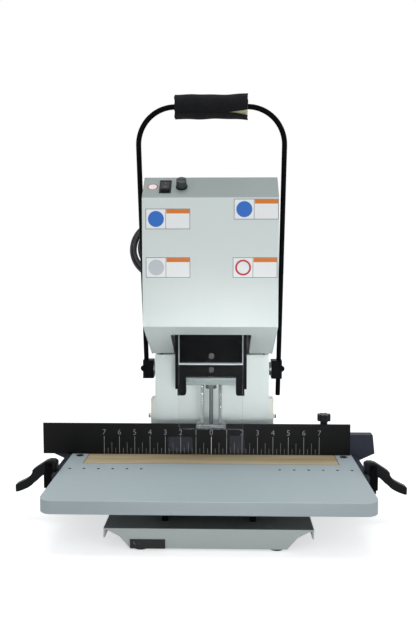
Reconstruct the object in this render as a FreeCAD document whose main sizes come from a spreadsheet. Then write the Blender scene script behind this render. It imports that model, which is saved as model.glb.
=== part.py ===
import FreeCAD, Part
import math
import os
import re
import Sketcher
from FreeCAD import Placement, Rotation, Vector

# Benchtop paper drill: a single hollow drill bit, turned by a motor inside a white sheet-metal
# head, is pulled down through a stack of paper by a hoop handle.  The paper lies on a laminated
# table with a wooden cutting strip, against a black back gauge with an inch scale.
#
# Frame: millimetres, +Z up, front towards -Y.  X = 0 is the drill's axis, Z = 0 the surface that
# the rubber feet stand on.  Y is measured from halfway between the table's front edge and the
# base's rear; the written parts are moved forward by half the cord hook's reach, so that their
# origin is the middle of the whole drill, hook included.

DIMENSIONS = {
    # places that everything else is measured from
    "fence_face": 38.6,          # Y of the back gauge's front face
    "table_top": 80.0,           # Z of the table's top
    "rear_plane": 190.0,         # Y of the base's and covers' rear
    "drill_back": 22.6,          # Y of the drill's axis
    # base tray
    "base_half": 146.3,
    "base_front": 161.4,         # distance of the base's front edge in front of Y = 0
    "base_top": 31.5,
    "base_lip_top": 5.0,
    "foot_height": 3.0,
    "foot_radius": 10.0,
    "lip_depth": 24.0,
    "flange_side": 13.5,
    "flange_shoulder": 124.0,
    "flange_shoulder_drop": 11.8,
    "flange_low_half": 109.2,
    "sheet": 2.0,
    # table
    "table_half": 231.3,
    "table_front": 190.0,
    "table_depth": 279.4,
    "board_thick": 19.0,
    "board_round": 19.0,
    "strip_length": 405.0,
    "strip_width": 76.0,
    "strip_thick": 12.7,
    "strip_gap": 0.5,
    "strip_front": 14.0,         # distance of the strip's front edge in front of Y = 0
    "rail_middle": 62.7,
    "rail_width": 8.5,
    "rail_front": 133.0,
    "peg_hole_radius": 2.4,
    "peg_first": 107.0,
    "peg_pitch": 22.2,
    "peg_line": 43.0,            # distance of the peg holes in front of Y = 0
    # back gauge
    "fence_left": 279.4,
    "fence_right": 228.6,
    "fence_height": 51.9,
    "fence_thick": 3.0,
    "gauge_lift": 0.4,
    "beam_deep": 18.0,
    "beam_high": 34.0,
    "ear_out": 26.0,
    "ear_taper": 3.5,
    "arm_gap": 0.4,
    "arm_wide": 8.3,
    "arm_bottom": 25.0,
    "arm_reach": 112.0,
    "lever_back": 51.4,          # distance of the clamp levers' pivots in front of Y = 0
    "lever_out": 7.0,
    "lever_rise": 8.0,
    "lever_reach": 53.0,
    "stop_inset": 44.3,          # how far the side stop stands inside the table's edge
    "knob_back": 53.6,           # Y of the side stop's knob
    "knob_radius": 11.0,
    # column and head
    "column_half": 97.5,
    "column_front": 90.6,
    "chassis_thick": 5.0,
    "head_step": 5.5,            # how far the head is wider than the column, on each side
    "head_front": 41.4,          # distance of the head's front face in front of Y = 0
    "head_low": 301.0,
    "head_brow": 497.0,
    "head_top": 530.0,
    "strip_panel_deep": 40.0,
    "throat_low": 241.0,
    "throat_back": 92.6,
    "opening_side": 14.0,        # room between the front plate and each edge of the opening
    "opening_front": 5.4,        # distance of the opening's front edge in front of Y = 0
    "mouth_chamfer": 2.5,
    "sticker_wide": 67.0,
    "sticker_tall": 30.5,
    "sticker_thick": 0.4,
    "badge_side": 88.5,
    # handle and its rack drive
    "pivot_back": 133.6,
    "pivot_high": 209.0,
    "gear_module": 3.0,
    "gear_teeth": 24,
    "gear_side": 48.0,
    "gear_wide": 12.0,
    "shaft_radius": 8.0,
    "hub_gap": 0.5,
    "hub_wide": 18.5,
    "hoop_in_hub": 13.0,
    "hoop_reach": 447.0,
    "hoop_lean": 14.5,
    "hoop_bend": 60.0,
    "hoop_rod": 4.2,
    "grip_length": 119.0,
    "grip_radius": 20.5,
    # drilling carriage, at the top of its travel
    "stroke": 50.8,
    "plate_inset": 26.0,         # how far the plate's edge lies inside a guide shaft's middle
    "plate_front": 0.6,          # Y of the front plate's front face
    "plate_low": 238.0,
    "plate_high": 345.0,
    "arm_low": 186.0,
    "arm_round": 4.0,
    "spindle_plate_low": 202.5,
    "spindle_plate_thick": 11.5,
    "quill_radius": 12.0,
    "drill_radius": 3.175,
    "drill_tip": 131.5,
    "chuck_low": 195.0,
    "bush_long": 70.0,
    "spring_side": 45.0,
    "deck_low": 415.0,
    "deck_thick": 8.0,
    "pulley_gap": 7.0,
    "motor_back": 123.6,
    "motor_radius": 42.0,
    "guide_inset": 21.5,
    "deck_inset": 9.5,
    "guide_back": 62.6,
    "guide_radius": 8.0,
    "rod_side": 14.3,
    "rod_radius": 2.0,
    "foot_low": 132.0,
    "foot_thick": 5.0,
    # mains lead
    "lead_radius": 3.5,
    "coil_side": 97.0,
    "coil_back": 207.5,
    "coil_high": 421.0,
    "coil_ring": 46.0,
    "coil_tube": 11.5,
    "hook_reach": 40.0,
}

# sizes that follow from the ones above
FOLLOWING = {
    "stop_middle": "table_half - stop_inset",
    "arm_outer": "table_half + arm_gap + arm_wide",
    "lever_pivot": "arm_outer + lever_out",
    "lever_tip": "lever_pivot + lever_reach",
    "ear_half": "arm_outer + ear_out",
    "ear_tip": "ear_half + ear_taper",
    "head_half": "column_half + head_step",
    "hub_inner": "head_half + hub_gap",
    "hub_outer": "hub_inner + hub_wide",
    "hoop_half": "hub_inner + hoop_in_hub",
    "pulley_low": "deck_low + deck_thick + pulley_gap",
    "guide_side": "column_half - guide_inset",
    "deck_half": "column_half - deck_inset",
    "plate_half": "guide_side - plate_inset",
    "opening_half": "plate_half + opening_side",
}

SWITCH_X = -69.0               # places of the switch and the fuse along the control strip
FUSE_X = -44.2

doc = FreeCAD.newDocument("PaperDrill")
sheet = doc.addObject("Spreadsheet::Sheet", "Dims")
cells = [(alias, str(number)) for alias, number in DIMENSIONS.items()]
cells += [(alias, "=" + formula) for alias, formula in FOLLOWING.items()]
for row, (alias, content) in enumerate(cells, 1):
    sheet.set("A%d" % row, alias)
    sheet.setAlias("B%d" % row, alias)
    sheet.set("B%d" % row, content)
NAMES = {alias for alias, content in cells}
doc.recompute()

AXES = {
    "x": Rotation(Vector(0, 1, 0), 90),
    "y": Rotation(Vector(1, 0, 0), -90),
    "z": Rotation(),
}
NODES = []


def size(alias):
    """A driving dimension's number, for shapes that are made by Part's own functions."""
    return float(sheet.get(alias))


def bound(text):
    """An expression in which every dimension's name points at its cell."""
    return re.sub(r"[a-z_]{3,}", lambda m: "Dims." + m.group() if m.group() in NAMES else m.group(), str(text))


def place(item, where):
    """Bind an object's position to three expressions."""
    for axis, text in zip("xyz", where):
        item.setExpression("Placement.Base." + axis, bound(text))


def block(label, corner, extent):
    """A box from its low corner and its three sizes."""
    box = doc.addObject("Part::Box", label)
    for side, text in zip(("Length", "Width", "Height"), extent):
        box.setExpression(side, bound(text))
    place(box, corner)
    return box


def rod(label, start, radius, length, axis="z"):
    """A cylinder that starts at a point and runs along an axis."""
    cylinder = doc.addObject("Part::Cylinder", label)
    cylinder.Placement = Placement(Vector(), AXES[axis])
    cylinder.setExpression("Radius", bound(radius))
    cylinder.setExpression("Height", bound(length))
    place(cylinder, start)
    return cylinder


def cone(label, start, radius_low, radius_high, length, axis="z"):
    """A truncated cone that starts at a point and runs along an axis."""
    shape = doc.addObject("Part::Cone", label)
    shape.Placement = Placement(Vector(), AXES[axis])
    shape.setExpression("Radius1", bound(radius_low))
    shape.setExpression("Radius2", bound(radius_high))
    shape.setExpression("Height", bound(length))
    place(shape, start)
    return shape


def plate(label, plane, outline, low, high):
    """A padded sketch: the outline's corners are expressions, low and high its two faces."""
    body = doc.addObject("PartDesign::Body", label)
    sketch = body.newObject("Sketcher::SketchObject", label + "_outline")
    support = [item for item in body.Origin.OriginFeatures if item.Role == plane + "_Plane"][0]
    sketch.AttachmentSupport = [(support, "")]
    sketch.MapMode = "FlatFace"
    offset = "-(%s)" % high if plane == "XZ" else low
    sketch.setExpression("AttachmentOffset.Base.z", bound(offset))
    count = len(outline)
    corners = [Vector(math.cos(6.28 * k / count), math.sin(6.28 * k / count), 0) * 100 for k in range(count)]
    for k in range(count):
        sketch.addGeometry(Part.LineSegment(corners[k], corners[(k + 1) % count]), False)
    for k, corner in enumerate(outline):
        sketch.addConstraint(Sketcher.Constraint("Coincident", k, 2, (k + 1) % count, 1))
    for k, corner in enumerate(outline):
        for kind, text in zip(("DistanceX", "DistanceY"), corner):
            index = sketch.addConstraint(Sketcher.Constraint(kind, -1, 1, k, 1, 1.0))
            sketch.renameConstraint(index, "%s%d" % (kind[-1].lower(), k))
            sketch.setExpression("Constraints.%s%d" % (kind[-1].lower(), k), bound(text))
    pad = body.newObject("PartDesign::Pad", label + "_pad")
    pad.Profile = sketch
    pad.setExpression("Length", bound("(%s) - (%s)" % (high, low)))
    doc.recompute()
    return body


def soften(body, radius, chosen):
    """Round those edges of a body that a test picks."""
    base = body.Tip
    edges = base.Shape.Edges
    names = ["Edge%d" % (k + 1) for k, edge in enumerate(edges) if chosen(edge)]
    rounding = body.newObject("PartDesign::Fillet", body.Label + "_round")
    rounding.Base = (base, names)
    rounding.setExpression("Radius", bound(radius))
    body.Tip = rounding
    doc.recompute()
    return body


def fuse(label, *pieces):
    """One solid made of several."""
    union = doc.addObject("Part::MultiFuse", label)
    union.Shapes = list(pieces)
    return union


def cut(label, base, *tools):
    """A solid less one or more tools."""
    result = doc.addObject("Part::Cut", label)
    result.Base = base
    result.Tool = tools[0] if len(tools) == 1 else fuse(label + "_tools", *tools)
    return result


def group(label, *pieces):
    """Separate solids that share one node."""
    compound = doc.addObject("Part::Compound", label)
    compound.Links = list(pieces)
    return compound


def solid(label, shape):
    """A shape made by Part's own functions, in the document."""
    feature = doc.addObject("Part::Feature", label)
    feature.Shape = shape
    return feature


def node(item):
    """Mark an object as a finished sub-part."""
    NODES.append(item)
    return item


def bent_path(points, radii):
    """Straight runs joined by tangent arcs, with one radius for each inner point."""
    edges = []
    start = points[0]
    for k in range(1, len(points) - 1):
        before = (points[k] - points[k - 1]).normalize()
        after = (points[k + 1] - points[k]).normalize()
        turn = before.getAngle(after)
        reach = radii[k - 1] * math.tan(turn / 2)
        arc_in = points[k] - before * reach
        arc_out = points[k] + after * reach
        inward = (after - before).normalize()
        centre = points[k] + inward * (radii[k - 1] / math.cos(turn / 2))
        edges.append(Part.LineSegment(start, arc_in).toShape())
        edges.append(Part.Arc(arc_in, centre - inward * radii[k - 1], arc_out).toShape())
        start = arc_out
    edges.append(Part.LineSegment(start, points[-1]).toShape())
    return Part.Wire(edges)


def tube(label, points, radii, radius):
    """A round bar along a bent path; its volume is checked against section times length."""
    path = bent_path(points, radii)
    section = Part.Wire(Part.makeCircle(radius, points[0], points[1] - points[0]))
    bar = path.makePipeShell([section], True, False)
    expected = math.pi * radius ** 2 * path.Length
    print("%s: length %.0f, volume ratio %.4f" % (label, path.Length, bar.Volume / expected))
    return solid(label, bar)


def coil_spring(label, base, height, radius, wire, turns):
    """A helical spring that stands on a point."""
    helix = Part.makeHelix(height / turns, height, radius)
    section = Part.Wire(Part.makeCircle(wire, Vector(radius, 0, 0), Vector(0, 1, 0)))
    shape = helix.makePipeShell([section], True, True)
    shape.translate(base)
    return solid(label, shape)


def both_sides(build):
    """Run a builder for the left side and for the right side."""
    for side, sign in (("left", -1), ("right", 1)):
        build(side, sign)


def mirrored(sign, low, high):
    """The low X of a span from low to high that is mirrored to the left when sign is -1."""
    return low if sign > 0 else "-(%s)" % high


# ---------------------------------------------------------------- base, table and cutting strip
def build_base():
    """Folded tray: top, front and rear flanges with cut-off ends, short sides and bottom lips."""
    deck = block("tray_deck", ("-base_half", "-base_front", "base_top - sheet"),
                 ("base_half * 2", "base_front + rear_plane", "sheet"))
    flange = [("-base_half", "base_top"), ("-flange_shoulder", "base_top - flange_shoulder_drop"),
              ("-flange_low_half", "foot_height"), ("flange_low_half", "foot_height"),
              ("flange_shoulder", "base_top - flange_shoulder_drop"), ("base_half", "base_top")]
    front = plate("tray_front", "XZ", flange, "-base_front", "sheet - base_front")
    rear = plate("tray_rear", "XZ", flange, "rear_plane - sheet", "rear_plane")
    sides = [block("tray_side_" + name, (x, "-base_front", "base_top - flange_side"),
                   ("sheet", "base_front + rear_plane", "flange_side"))
             for name, x in (("left", "-base_half"), ("right", "base_half - sheet"))]
    lips = [block("tray_lip_" + name, ("-flange_low_half", y, "foot_height"),
                  ("flange_low_half * 2", "lip_depth", "sheet"))
            for name, y in (("front", "-base_front"), ("rear", "rear_plane - lip_depth"))]
    node(fuse("base_tray", deck, front, rear, *sides, *lips))
    feet = [rod("foot_%d" % (k + 1), (x, y, 0), "foot_radius", "foot_height")
            for k, (x, y) in enumerate((x, y) for x in ("-flange_low_half + 14", "flange_low_half - 14")
                                       for y in ("12 - base_front", "rear_plane - 12"))]
    bumper = block("bumper", ("-flange_low_half", "-base_front - 1.5", "foot_height"), (49, 1.5, 13))
    node(group("rubber_feet", bumper, *feet))


def build_table():
    """Laminated board with rounded front corners, a bed for the cutting strip and peg holes."""
    board = block("board_blank", ("-table_half", "-table_front", "table_top - board_thick"),
                  ("table_half * 2", "table_depth", "board_thick"))
    corner_tools = []
    for side, sign in (("left", -1), ("right", 1)):
        square = block("corner_square_" + side,
                       (mirrored(sign, "table_half - board_round", "table_half"), "-table_front",
                        "table_top - board_thick"), ("board_round", "board_round", "board_thick"))
        round_end = rod("corner_round_" + side,
                     ("%d * (table_half - board_round)" % sign, "board_round - table_front",
                      "table_top - board_thick"), "board_round", "board_thick")
        corner_tools.append(cut("corner_waste_" + side, square, round_end))
    bed = block("strip_bed", ("-strip_length / 2 - strip_gap", "-strip_front - strip_gap",
                              "table_top - strip_thick"),
                ("strip_length + strip_gap * 2", "strip_width + strip_gap * 2", "strip_thick"))
    holes = [rod("peg_hole_%d_%s" % (k, side), ("%d * (peg_first + peg_pitch * %d)" % (sign, k),
                                               "-peg_line", "table_top - 8"), "peg_hole_radius", 8)
             for k in range(6) for side, sign in (("left", -1), ("right", 1))]
    board = cut("table_board", board, bed, *corner_tools, *holes)
    node(board)
    node(block("cutting_strip", ("-strip_length / 2", "-strip_front", "table_top - strip_thick"),
               ("strip_length", "strip_width", "strip_thick")))
    screws = [rod("table_screw_%d" % k, (x, y, "table_top"), 6, 0.6)
              for k, (x, y) in enumerate((("-216.5", "28.6"), ("216.5", "28.6")))]
    rails = []
    for side, sign in (("left", -1), ("right", 1)):
        rail = block("rail_" + side, (mirrored(sign, "rail_middle - rail_width / 2", "rail_middle + rail_width / 2"),
                                      "-rail_front", "base_top"),
                     ("rail_width", "rail_front + column_front - 2", "table_top - board_thick - base_top"))
        rails.append(rail)
    crossbar = block("rail_crossbar", ("rail_width / 2 - rail_middle", "-rail_front + 20", "base_top + 6"),
                     ("rail_middle * 2 - rail_width", 6, 20))
    node(fuse("table_rails", crossbar, *rails))
    return screws


# ---------------------------------------------------------------- back gauge, clamps and side stop
def build_gauge():
    """Fence plate, carrier beam with ears, arms along the table's edges and their clamps."""
    node(block("fence_plate", ("-fence_left", "fence_face", "table_top + gauge_lift"),
               ("fence_left + fence_right", "fence_thick", "fence_height - gauge_lift")))
    arm_in = "table_half + arm_gap"
    right = [("ear_half", "table_top + beam_high"), ("ear_tip", "table_top + 3"),
             ("arm_outer + 1.5", "table_top - 10"), ("arm_outer", "table_top - arm_bottom"),
             (arm_in, "table_top - arm_bottom"), (arm_in, "table_top + 1")]
    left = [("-(%s)" % x, z) for x, z in reversed(right)]
    node(plate("gauge_carrier", "XZ", right + left, "fence_face + fence_thick",
               "fence_face + fence_thick + beam_deep"))

    arms = []
    clamps = []

    def arm(side, sign):
        bar = block("arm_bar_" + side, (mirrored(sign, arm_in, "arm_outer"), "fence_face + fence_thick - arm_reach",
                                        "table_top - arm_bottom"),
                    ("arm_outer - table_half - arm_gap", "arm_reach", "arm_bottom - 1"))
        lip = block("arm_lip_" + side, (mirrored(sign, "table_half - 16", arm_in),
                                        "fence_face + fence_thick - arm_reach", "table_top - arm_bottom"),
                    ("16 + arm_gap", "arm_reach", "arm_bottom - board_thick - arm_gap"))
        arms.append(fuse("gauge_arm_" + side, bar, lip))
        shelf = block("clamp_body_" + side, (mirrored(sign, "arm_outer", "arm_outer + 14"), "-lever_back - 11",
                                             "table_top - arm_bottom"), (14, 22, "arm_bottom - 3.5"))
        jaw_pad = block("clamp_jaw_" + side, (mirrored(sign, "arm_outer + 2", "arm_outer + 12"), "-lever_back - 9",
                                          "table_top - arm_bottom - 6"), (10, 18, 6))
        pin = rod("clamp_pin_" + side, ("%d * lever_pivot" % sign, "-lever_back - 14", "table_top + lever_rise"),
                  3, 28, "y")
        ears = [block("clamp_ear_%s_%s" % (side, name),
                      (mirrored(sign, "lever_pivot - 5", "lever_pivot + 5"), y, "table_top - 3.5"), (10, 3, 16))
                for name, y in (("front", "-lever_back - 11"), ("rear", "-lever_back + 8"))]
        clamps.append(fuse("clamp_block_" + side, shelf, jaw_pad, pin, *ears))
        node(clamp_lever(side, sign))

    both_sides(arm)
    node(group("gauge_arms", *arms))
    node(group("clamp_blocks", *clamps))
    slide = block("stop_slide_block", ("stop_middle - 12", "fence_face + fence_thick + 1", "table_top + beam_high"),
                  (24, 16, 10))
    node(slide)
    stem = rod("knob_stem", ("stop_middle", "knob_back", "table_top + beam_high + 10"), 6, 11)
    head = rod("knob_head", ("stop_middle", "knob_back", "table_top + beam_high + 21"), "knob_radius", 11)
    scallops = []
    for k in range(8):
        scallop = rod("knob_scallop_%d" % k, (0, 0, "table_top + beam_high + 21"), 2.6, 11)
        spot = "knob_radius * %.4f"
        angle = math.radians(45 * k)
        place(scallop, ("stop_middle + " + spot % math.cos(angle), "knob_back + " + spot % math.sin(angle),
                        "table_top + beam_high + 21"))
        scallops.append(scallop)
    node(cut("stop_knob", fuse("knob_blank", stem, head), *scallops))


def clamp_lever(side, sign):
    """A cam head on the clamp's pin with a curved handle that reaches out and down."""
    pivot = Vector(sign * size("lever_pivot"), -size("lever_back"), size("table_top") + size("lever_rise"))
    cam = Part.makeCylinder(9, 15.4, pivot + Vector(0, -7.7, 0), Vector(0, 1, 0))
    tip_x = size("lever_tip") - size("lever_pivot")
    points = [pivot + Vector(sign * x, 0, z) for x, z in
              ((2, -2), (16, -8), (28, -15), (tip_x - 6, -36))]
    path = bent_path(points, [30, 40])
    section = Part.Wire(Part.makeCircle(6, points[0], points[1] - points[0]))
    grip = path.makePipeShell([section], True, False)
    ball = Part.makeSphere(6, points[-1])
    bore = Part.makeCylinder(3.05, 40, pivot + Vector(0, -20, 0), Vector(0, 1, 0))
    return solid("clamp_lever_" + side, cam.fuse([grip, ball]).cut(bore))


# ---------------------------------------------------------------- column, chassis and head covers
def build_chassis():
    """Two C-shaped side plates, the brackets between them and the carriage's two guide shafts."""
    outline = [("column_front + 4", "base_top"), ("rear_plane - 12", "base_top"),
               ("rear_plane - 12", "head_top - 25"),
               ("26 - head_front", "head_top - 25"), ("6 - head_front", "head_brow - 8"),
               ("6 - head_front", "head_low + 4"), ("column_front + 4", "throat_low + 8")]
    plates = []
    spacers = []
    for side, sign in (("left", -1), ("right", 1)):
        inner = "column_half - sheet - chassis_thick"
        outer = "column_half - sheet"
        low, high = (inner, outer) if sign > 0 else ("-(%s)" % outer, "-(%s)" % inner)
        blank = plate("chassis_blank_" + side, "YZ", outline, low, high)
        hole = rod("chassis_hole_" + side, (mirrored(sign, "column_half - 12", "column_half"), "pivot_back",
                                            "pivot_high"), "shaft_radius + 2", 12, "x")
        plates.append(cut("chassis_" + side, blank, hole))
        for k, (y, z) in enumerate(((150, 320), (150, 480), (20, 400))):
            spacers.append(rod("spacer_%s_%d" % (side, k), (mirrored(sign, outer, "head_half - sheet"), y, z),
                               5, "head_half - column_half", "x"))
    node(group("chassis_plates", *plates, *spacers))
    half = "(column_half - sheet - chassis_thick)"
    bridge = block("bridge_top", ("-" + half, "guide_back - 18", "head_top - 35"), (half + " * 2", 36, 10))
    pieces = [bridge]
    for side, sign in (("left", -1), ("right", 1)):
        pieces.append(block("guide_shelf_" + side, (mirrored(sign, "opening_half + 1", half), "guide_back - 14", 268),
                            (half + " - opening_half - 1", 28, 10)))
        pieces.append(rod("guide_shaft_" + side, ("%d * guide_side" % sign, "guide_back", 278),
                          "guide_radius", "head_top - 35 - 278"))
    node(group("guide_frame", *pieces))


def build_covers(screws):
    """Column shell, sloped throat panel with the carriage's opening, head cover and rear cover."""
    inner = "(column_half - sheet)"
    front = block("column_face", ("-column_half", "column_front", "base_top"),
                  ("column_half * 2", "sheet", "throat_low - base_top - 1.5"))
    sides = []
    for side, sign in (("left", -1), ("right", 1)):
        wall = block("column_wall_" + side, (mirrored(sign, inner, "column_half"), "column_front", "base_top"),
                     ("sheet", "rear_plane - sheet - column_front", "throat_low + 8 - base_top"))
        hole = rod("column_hole_" + side, (mirrored(sign, "column_half - 12", "column_half"), "pivot_back",
                                           "pivot_high"), "shaft_radius + 2", 12, "x")
        sides.append(cut("column_side_" + side, wall, hole))
    node(fuse("column_shell", front, *sides))
    slope = [("sheet - head_front", "head_low - 0.9"), ("column_front - 0.4", "throat_low + 1"),
             ("column_front - 0.4", "throat_low + 1 + sheet * 1.1"), ("sheet - head_front", "head_low + 1.3")]
    panel = plate("throat_blank", "YZ", slope, "sheet - head_half", "head_half - sheet")
    mouth = [("-opening_half", "throat_back + 5"), ("-opening_half", "mouth_chamfer - opening_front"),
             ("mouth_chamfer - opening_half", "-opening_front"), ("opening_half - mouth_chamfer", "-opening_front"),
             ("opening_half", "mouth_chamfer - opening_front"), ("opening_half", "throat_back + 5")]
    node(cut("throat_panel", panel, plate("throat_mouth", "XY", mouth, "throat_low - 10", "head_low + 10")))
    shell = [("-head_front", "head_low"), ("-head_front", "head_brow"),
             ("strip_panel_deep - head_front", "head_top"), ("rear_plane - sheet", "head_top"),
             ("rear_plane - sheet", "throat_low"), ("throat_back", "throat_low")]
    hollow = [("sheet - head_front", "throat_low - 20"), ("sheet - head_front", "head_brow - 0.9"),
              ("strip_panel_deep - head_front + 0.7", "head_top - sheet"), ("rear_plane + 10", "head_top - sheet"),
              ("rear_plane + 10", "throat_low - 20")]
    outer = plate("head_outer", "YZ", shell, "-head_half", "head_half")
    soften(outer, 5, lambda edge: abs(edge.BoundBox.XMin + edge.BoundBox.XMax) < 1
           and edge.BoundBox.ZMin > size("head_brow") - 1 and edge.BoundBox.YMax < 20)
    void = plate("head_void", "YZ", hollow, "sheet - head_half", "head_half - sheet")
    switch_hole = solid("switch_hole", Part.makeBox(15, 28.6, 12, Vector(-7.5, -14.3, -6)))
    on_strip(switch_hole, SWITCH_X)
    fuse_hole = solid("fuse_hole", Part.makeCylinder(6.2, 12, Vector(0, 0, -6)))
    on_strip(fuse_hole, FUSE_X)
    node(cut("head_cover", outer, void, switch_hole, fuse_hole))
    back = block("rear_blank", ("-head_half", "rear_plane - sheet", "base_top"),
                 ("head_half * 2", "sheet", "head_top - base_top"))
    slots = [block("vent_%d" % k, (-30, "rear_plane - 6", 400 + 12 * k), (90, 12, 5)) for k in range(7)]
    node(cut("rear_cover", back, *slots))
    brackets = []
    for side, sign in (("left", -1), ("right", 1)):
        ear = block("bracket_ear_" + side, (mirrored(sign, "column_half", "column_half + 9"), 105, "base_top"),
                    (9, 28, 128.5))
        top = rod("bracket_screw_" + side, (mirrored(sign, "column_half + 9", "column_half + 12"), 112, 129),
                  4, 3, "x")
        brackets += [ear, top]
    node(group("side_brackets", *brackets))
    for k, (x, z) in enumerate(((-92, 520), (92, 520), (-92, 45), (92, 45))):
        screws.append(rod("rear_screw_%d" % k, (x, "rear_plane", z), 4, 2, "y"))
    for side, sign in (("left", -1), ("right", 1)):
        for k, (y, z) in enumerate(((150, 320), (150, 480), (20, 400))):
            screws.append(rod("side_screw_%s_%d" % (side, k),
                              (mirrored(sign, "head_half", "head_half + 2"), y, z), 4, 2, "x"))
    node(group("cover_screws", *screws))


# ---------------------------------------------------------------- controls on the sloped strip
ROCKER_TILT = 10.0


def strip_frame(along_x, height=0.0):
    """Placement of the control strip's middle: X across, Y up the slope, Z out of it."""
    rise = size("head_top") - size("head_brow")
    deep = size("strip_panel_deep")
    tilt = Rotation(Vector(1, 0, 0), math.degrees(math.atan2(rise, deep)))
    middle = Vector(along_x, deep / 2 - size("head_front"), size("head_brow") + rise / 2)
    return Placement(middle + tilt.multVec(Vector(0, 0, height)), tilt)


def on_strip(item, along_x, height=0.0):
    """Seat an object on the control strip."""
    item.Placement = strip_frame(along_x, height)
    return item


def build_controls():
    """Rocker switch, fuse holder with its turning cap, and the blank stickers."""
    bezel = Part.makeBox(18, 32, 1.5, Vector(-9, -16, 0)).cut(Part.makeBox(14, 27.6, 4, Vector(-7, -13.8, -1)))
    bezel = on_strip(solid("switch_bezel", bezel), SWITCH_X)
    cradle = on_strip(solid("switch_cradle", Part.makeBox(14.8, 28.4, 18, Vector(-7.4, -14.2, -24))), SWITCH_X)
    collar = Part.makeCylinder(9, 2).fuse(Part.makeCylinder(6, 24, Vector(0, 0, -24)))
    collar = on_strip(solid("fuse_collar", collar), FUSE_X)
    walls = Part.makeBox(14.8, 28.4, 6, Vector(-7.4, -14.2, -6)).cut(Part.makeBox(14, 27.6, 8, Vector(-7, -13.8, -7)))
    walls = on_strip(solid("switch_walls", walls), SWITCH_X)
    pin = on_strip(solid("switch_pin", Part.makeCylinder(0.95, 14, Vector(-7, 0, 0), Vector(1, 0, 0))), SWITCH_X)
    node(group("control_bodies", fuse("switch_housing", cradle, walls, bezel, pin), collar))
    rocker = Part.makeBox(13.2, 26, 6, Vector(-6.6, -13, -2.4))
    rocker = rocker.cut(Part.makeCylinder(1, 14, Vector(-7, 0, 0), Vector(1, 0, 0)))
    rocker = node(on_strip(solid("switch_rocker", rocker), SWITCH_X))
    rocker.Placement = rocker.Placement * Placement(Vector(), Rotation(Vector(1, 0, 0), -ROCKER_TILT))
    cap = Part.makeCylinder(7.8, 11, Vector(0, 0, 2))
    for k in range(12):
        angle = math.radians(30 * k)
        cap = cap.cut(Part.makeCylinder(0.7, 8, Vector(7.9 * math.cos(angle), 7.9 * math.sin(angle), 2.5)))
    cap = cap.cut(Part.makeBox(11, 1.6, 2, Vector(-5.5, -0.8, 11.5)))
    node(on_strip(solid("fuse_cap", cap), FUSE_X))
    stickers = [block("sticker_%d" % k, (x, "-head_front - sticker_thick", z),
                      ("sticker_wide", "sticker_thick", "sticker_tall"))
                for k, (x, z) in enumerate(((-97.5, 449), (35.5, 463.5), (-97.5, 376), (34, 376)))]
    badge = on_strip(solid("strip_badge", Part.makeCylinder(8, size("sticker_thick"))), -size("badge_side"))
    node(group("blank_stickers", badge, *stickers))


# ---------------------------------------------------------------- hoop handle and rack drive
def involute_pinion(module, teeth, width, bore):
    """Spur gear with involute flanks, thinned a little for backlash; a tooth points to -Y."""
    pitch = module * teeth / 2
    base = pitch * math.cos(math.radians(20))
    root, crest = pitch - 1.25 * module, pitch + 0.9 * module
    half_tooth = math.pi / (2 * teeth) - 0.25 / pitch
    pressure = math.tan(math.radians(20)) - math.radians(20)
    flank = [(root, half_tooth + pressure)]
    for k in range(5):
        radius = base + (crest - base) * k / 4
        alpha = math.acos(base / radius)
        flank.append((radius, half_tooth + pressure - (math.tan(alpha) - alpha)))
    corners = []
    for tooth in range(teeth):
        middle = -math.pi / 2 + 2 * math.pi * tooth / teeth
        side = [(r, middle - a) for r, a in flank] + [(r, middle + a) for r, a in reversed(flank)]
        corners += [Vector(0, r * math.sin(a), r * math.cos(a)) for r, a in side]
    wire = Part.makePolygon(corners + corners[:1])
    blank = Part.Face(wire).extrude(Vector(width, 0, 0))
    return blank.cut(Part.makeCylinder(bore, width + 2, Vector(-1, 0, 0), Vector(1, 0, 0)))


def rack_bar(module, gaps, thick, width, length_up):
    """Straight rack whose teeth face +Y; a gap is centred on Z = 0 and others lie above and below."""
    pitch = math.pi * module
    slope = math.tan(math.radians(20))
    half = pitch / 4 + 0.1
    tip, root = 0.9 * module, -1.25 * module
    low, high = gaps
    corners = [Vector(0, -thick, (low - 0.5) * pitch), Vector(0, tip, (low - 0.5) * pitch)]
    for k in range(low, high + 1):
        middle = k * pitch
        corners += [Vector(0, tip, middle - half - tip * slope), Vector(0, root, middle - half - root * slope),
                    Vector(0, root, middle + half + root * slope), Vector(0, tip, middle + half + tip * slope)]
    stem = -module / 3
    corners += [Vector(0, tip, (high + 0.5) * pitch), Vector(0, stem, (high + 0.5) * pitch + 4),
                Vector(0, stem, length_up), Vector(0, -thick, length_up)]
    return Part.Face(Part.makePolygon(corners + corners[:1])).extrude(Vector(width, 0, 0))


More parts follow.
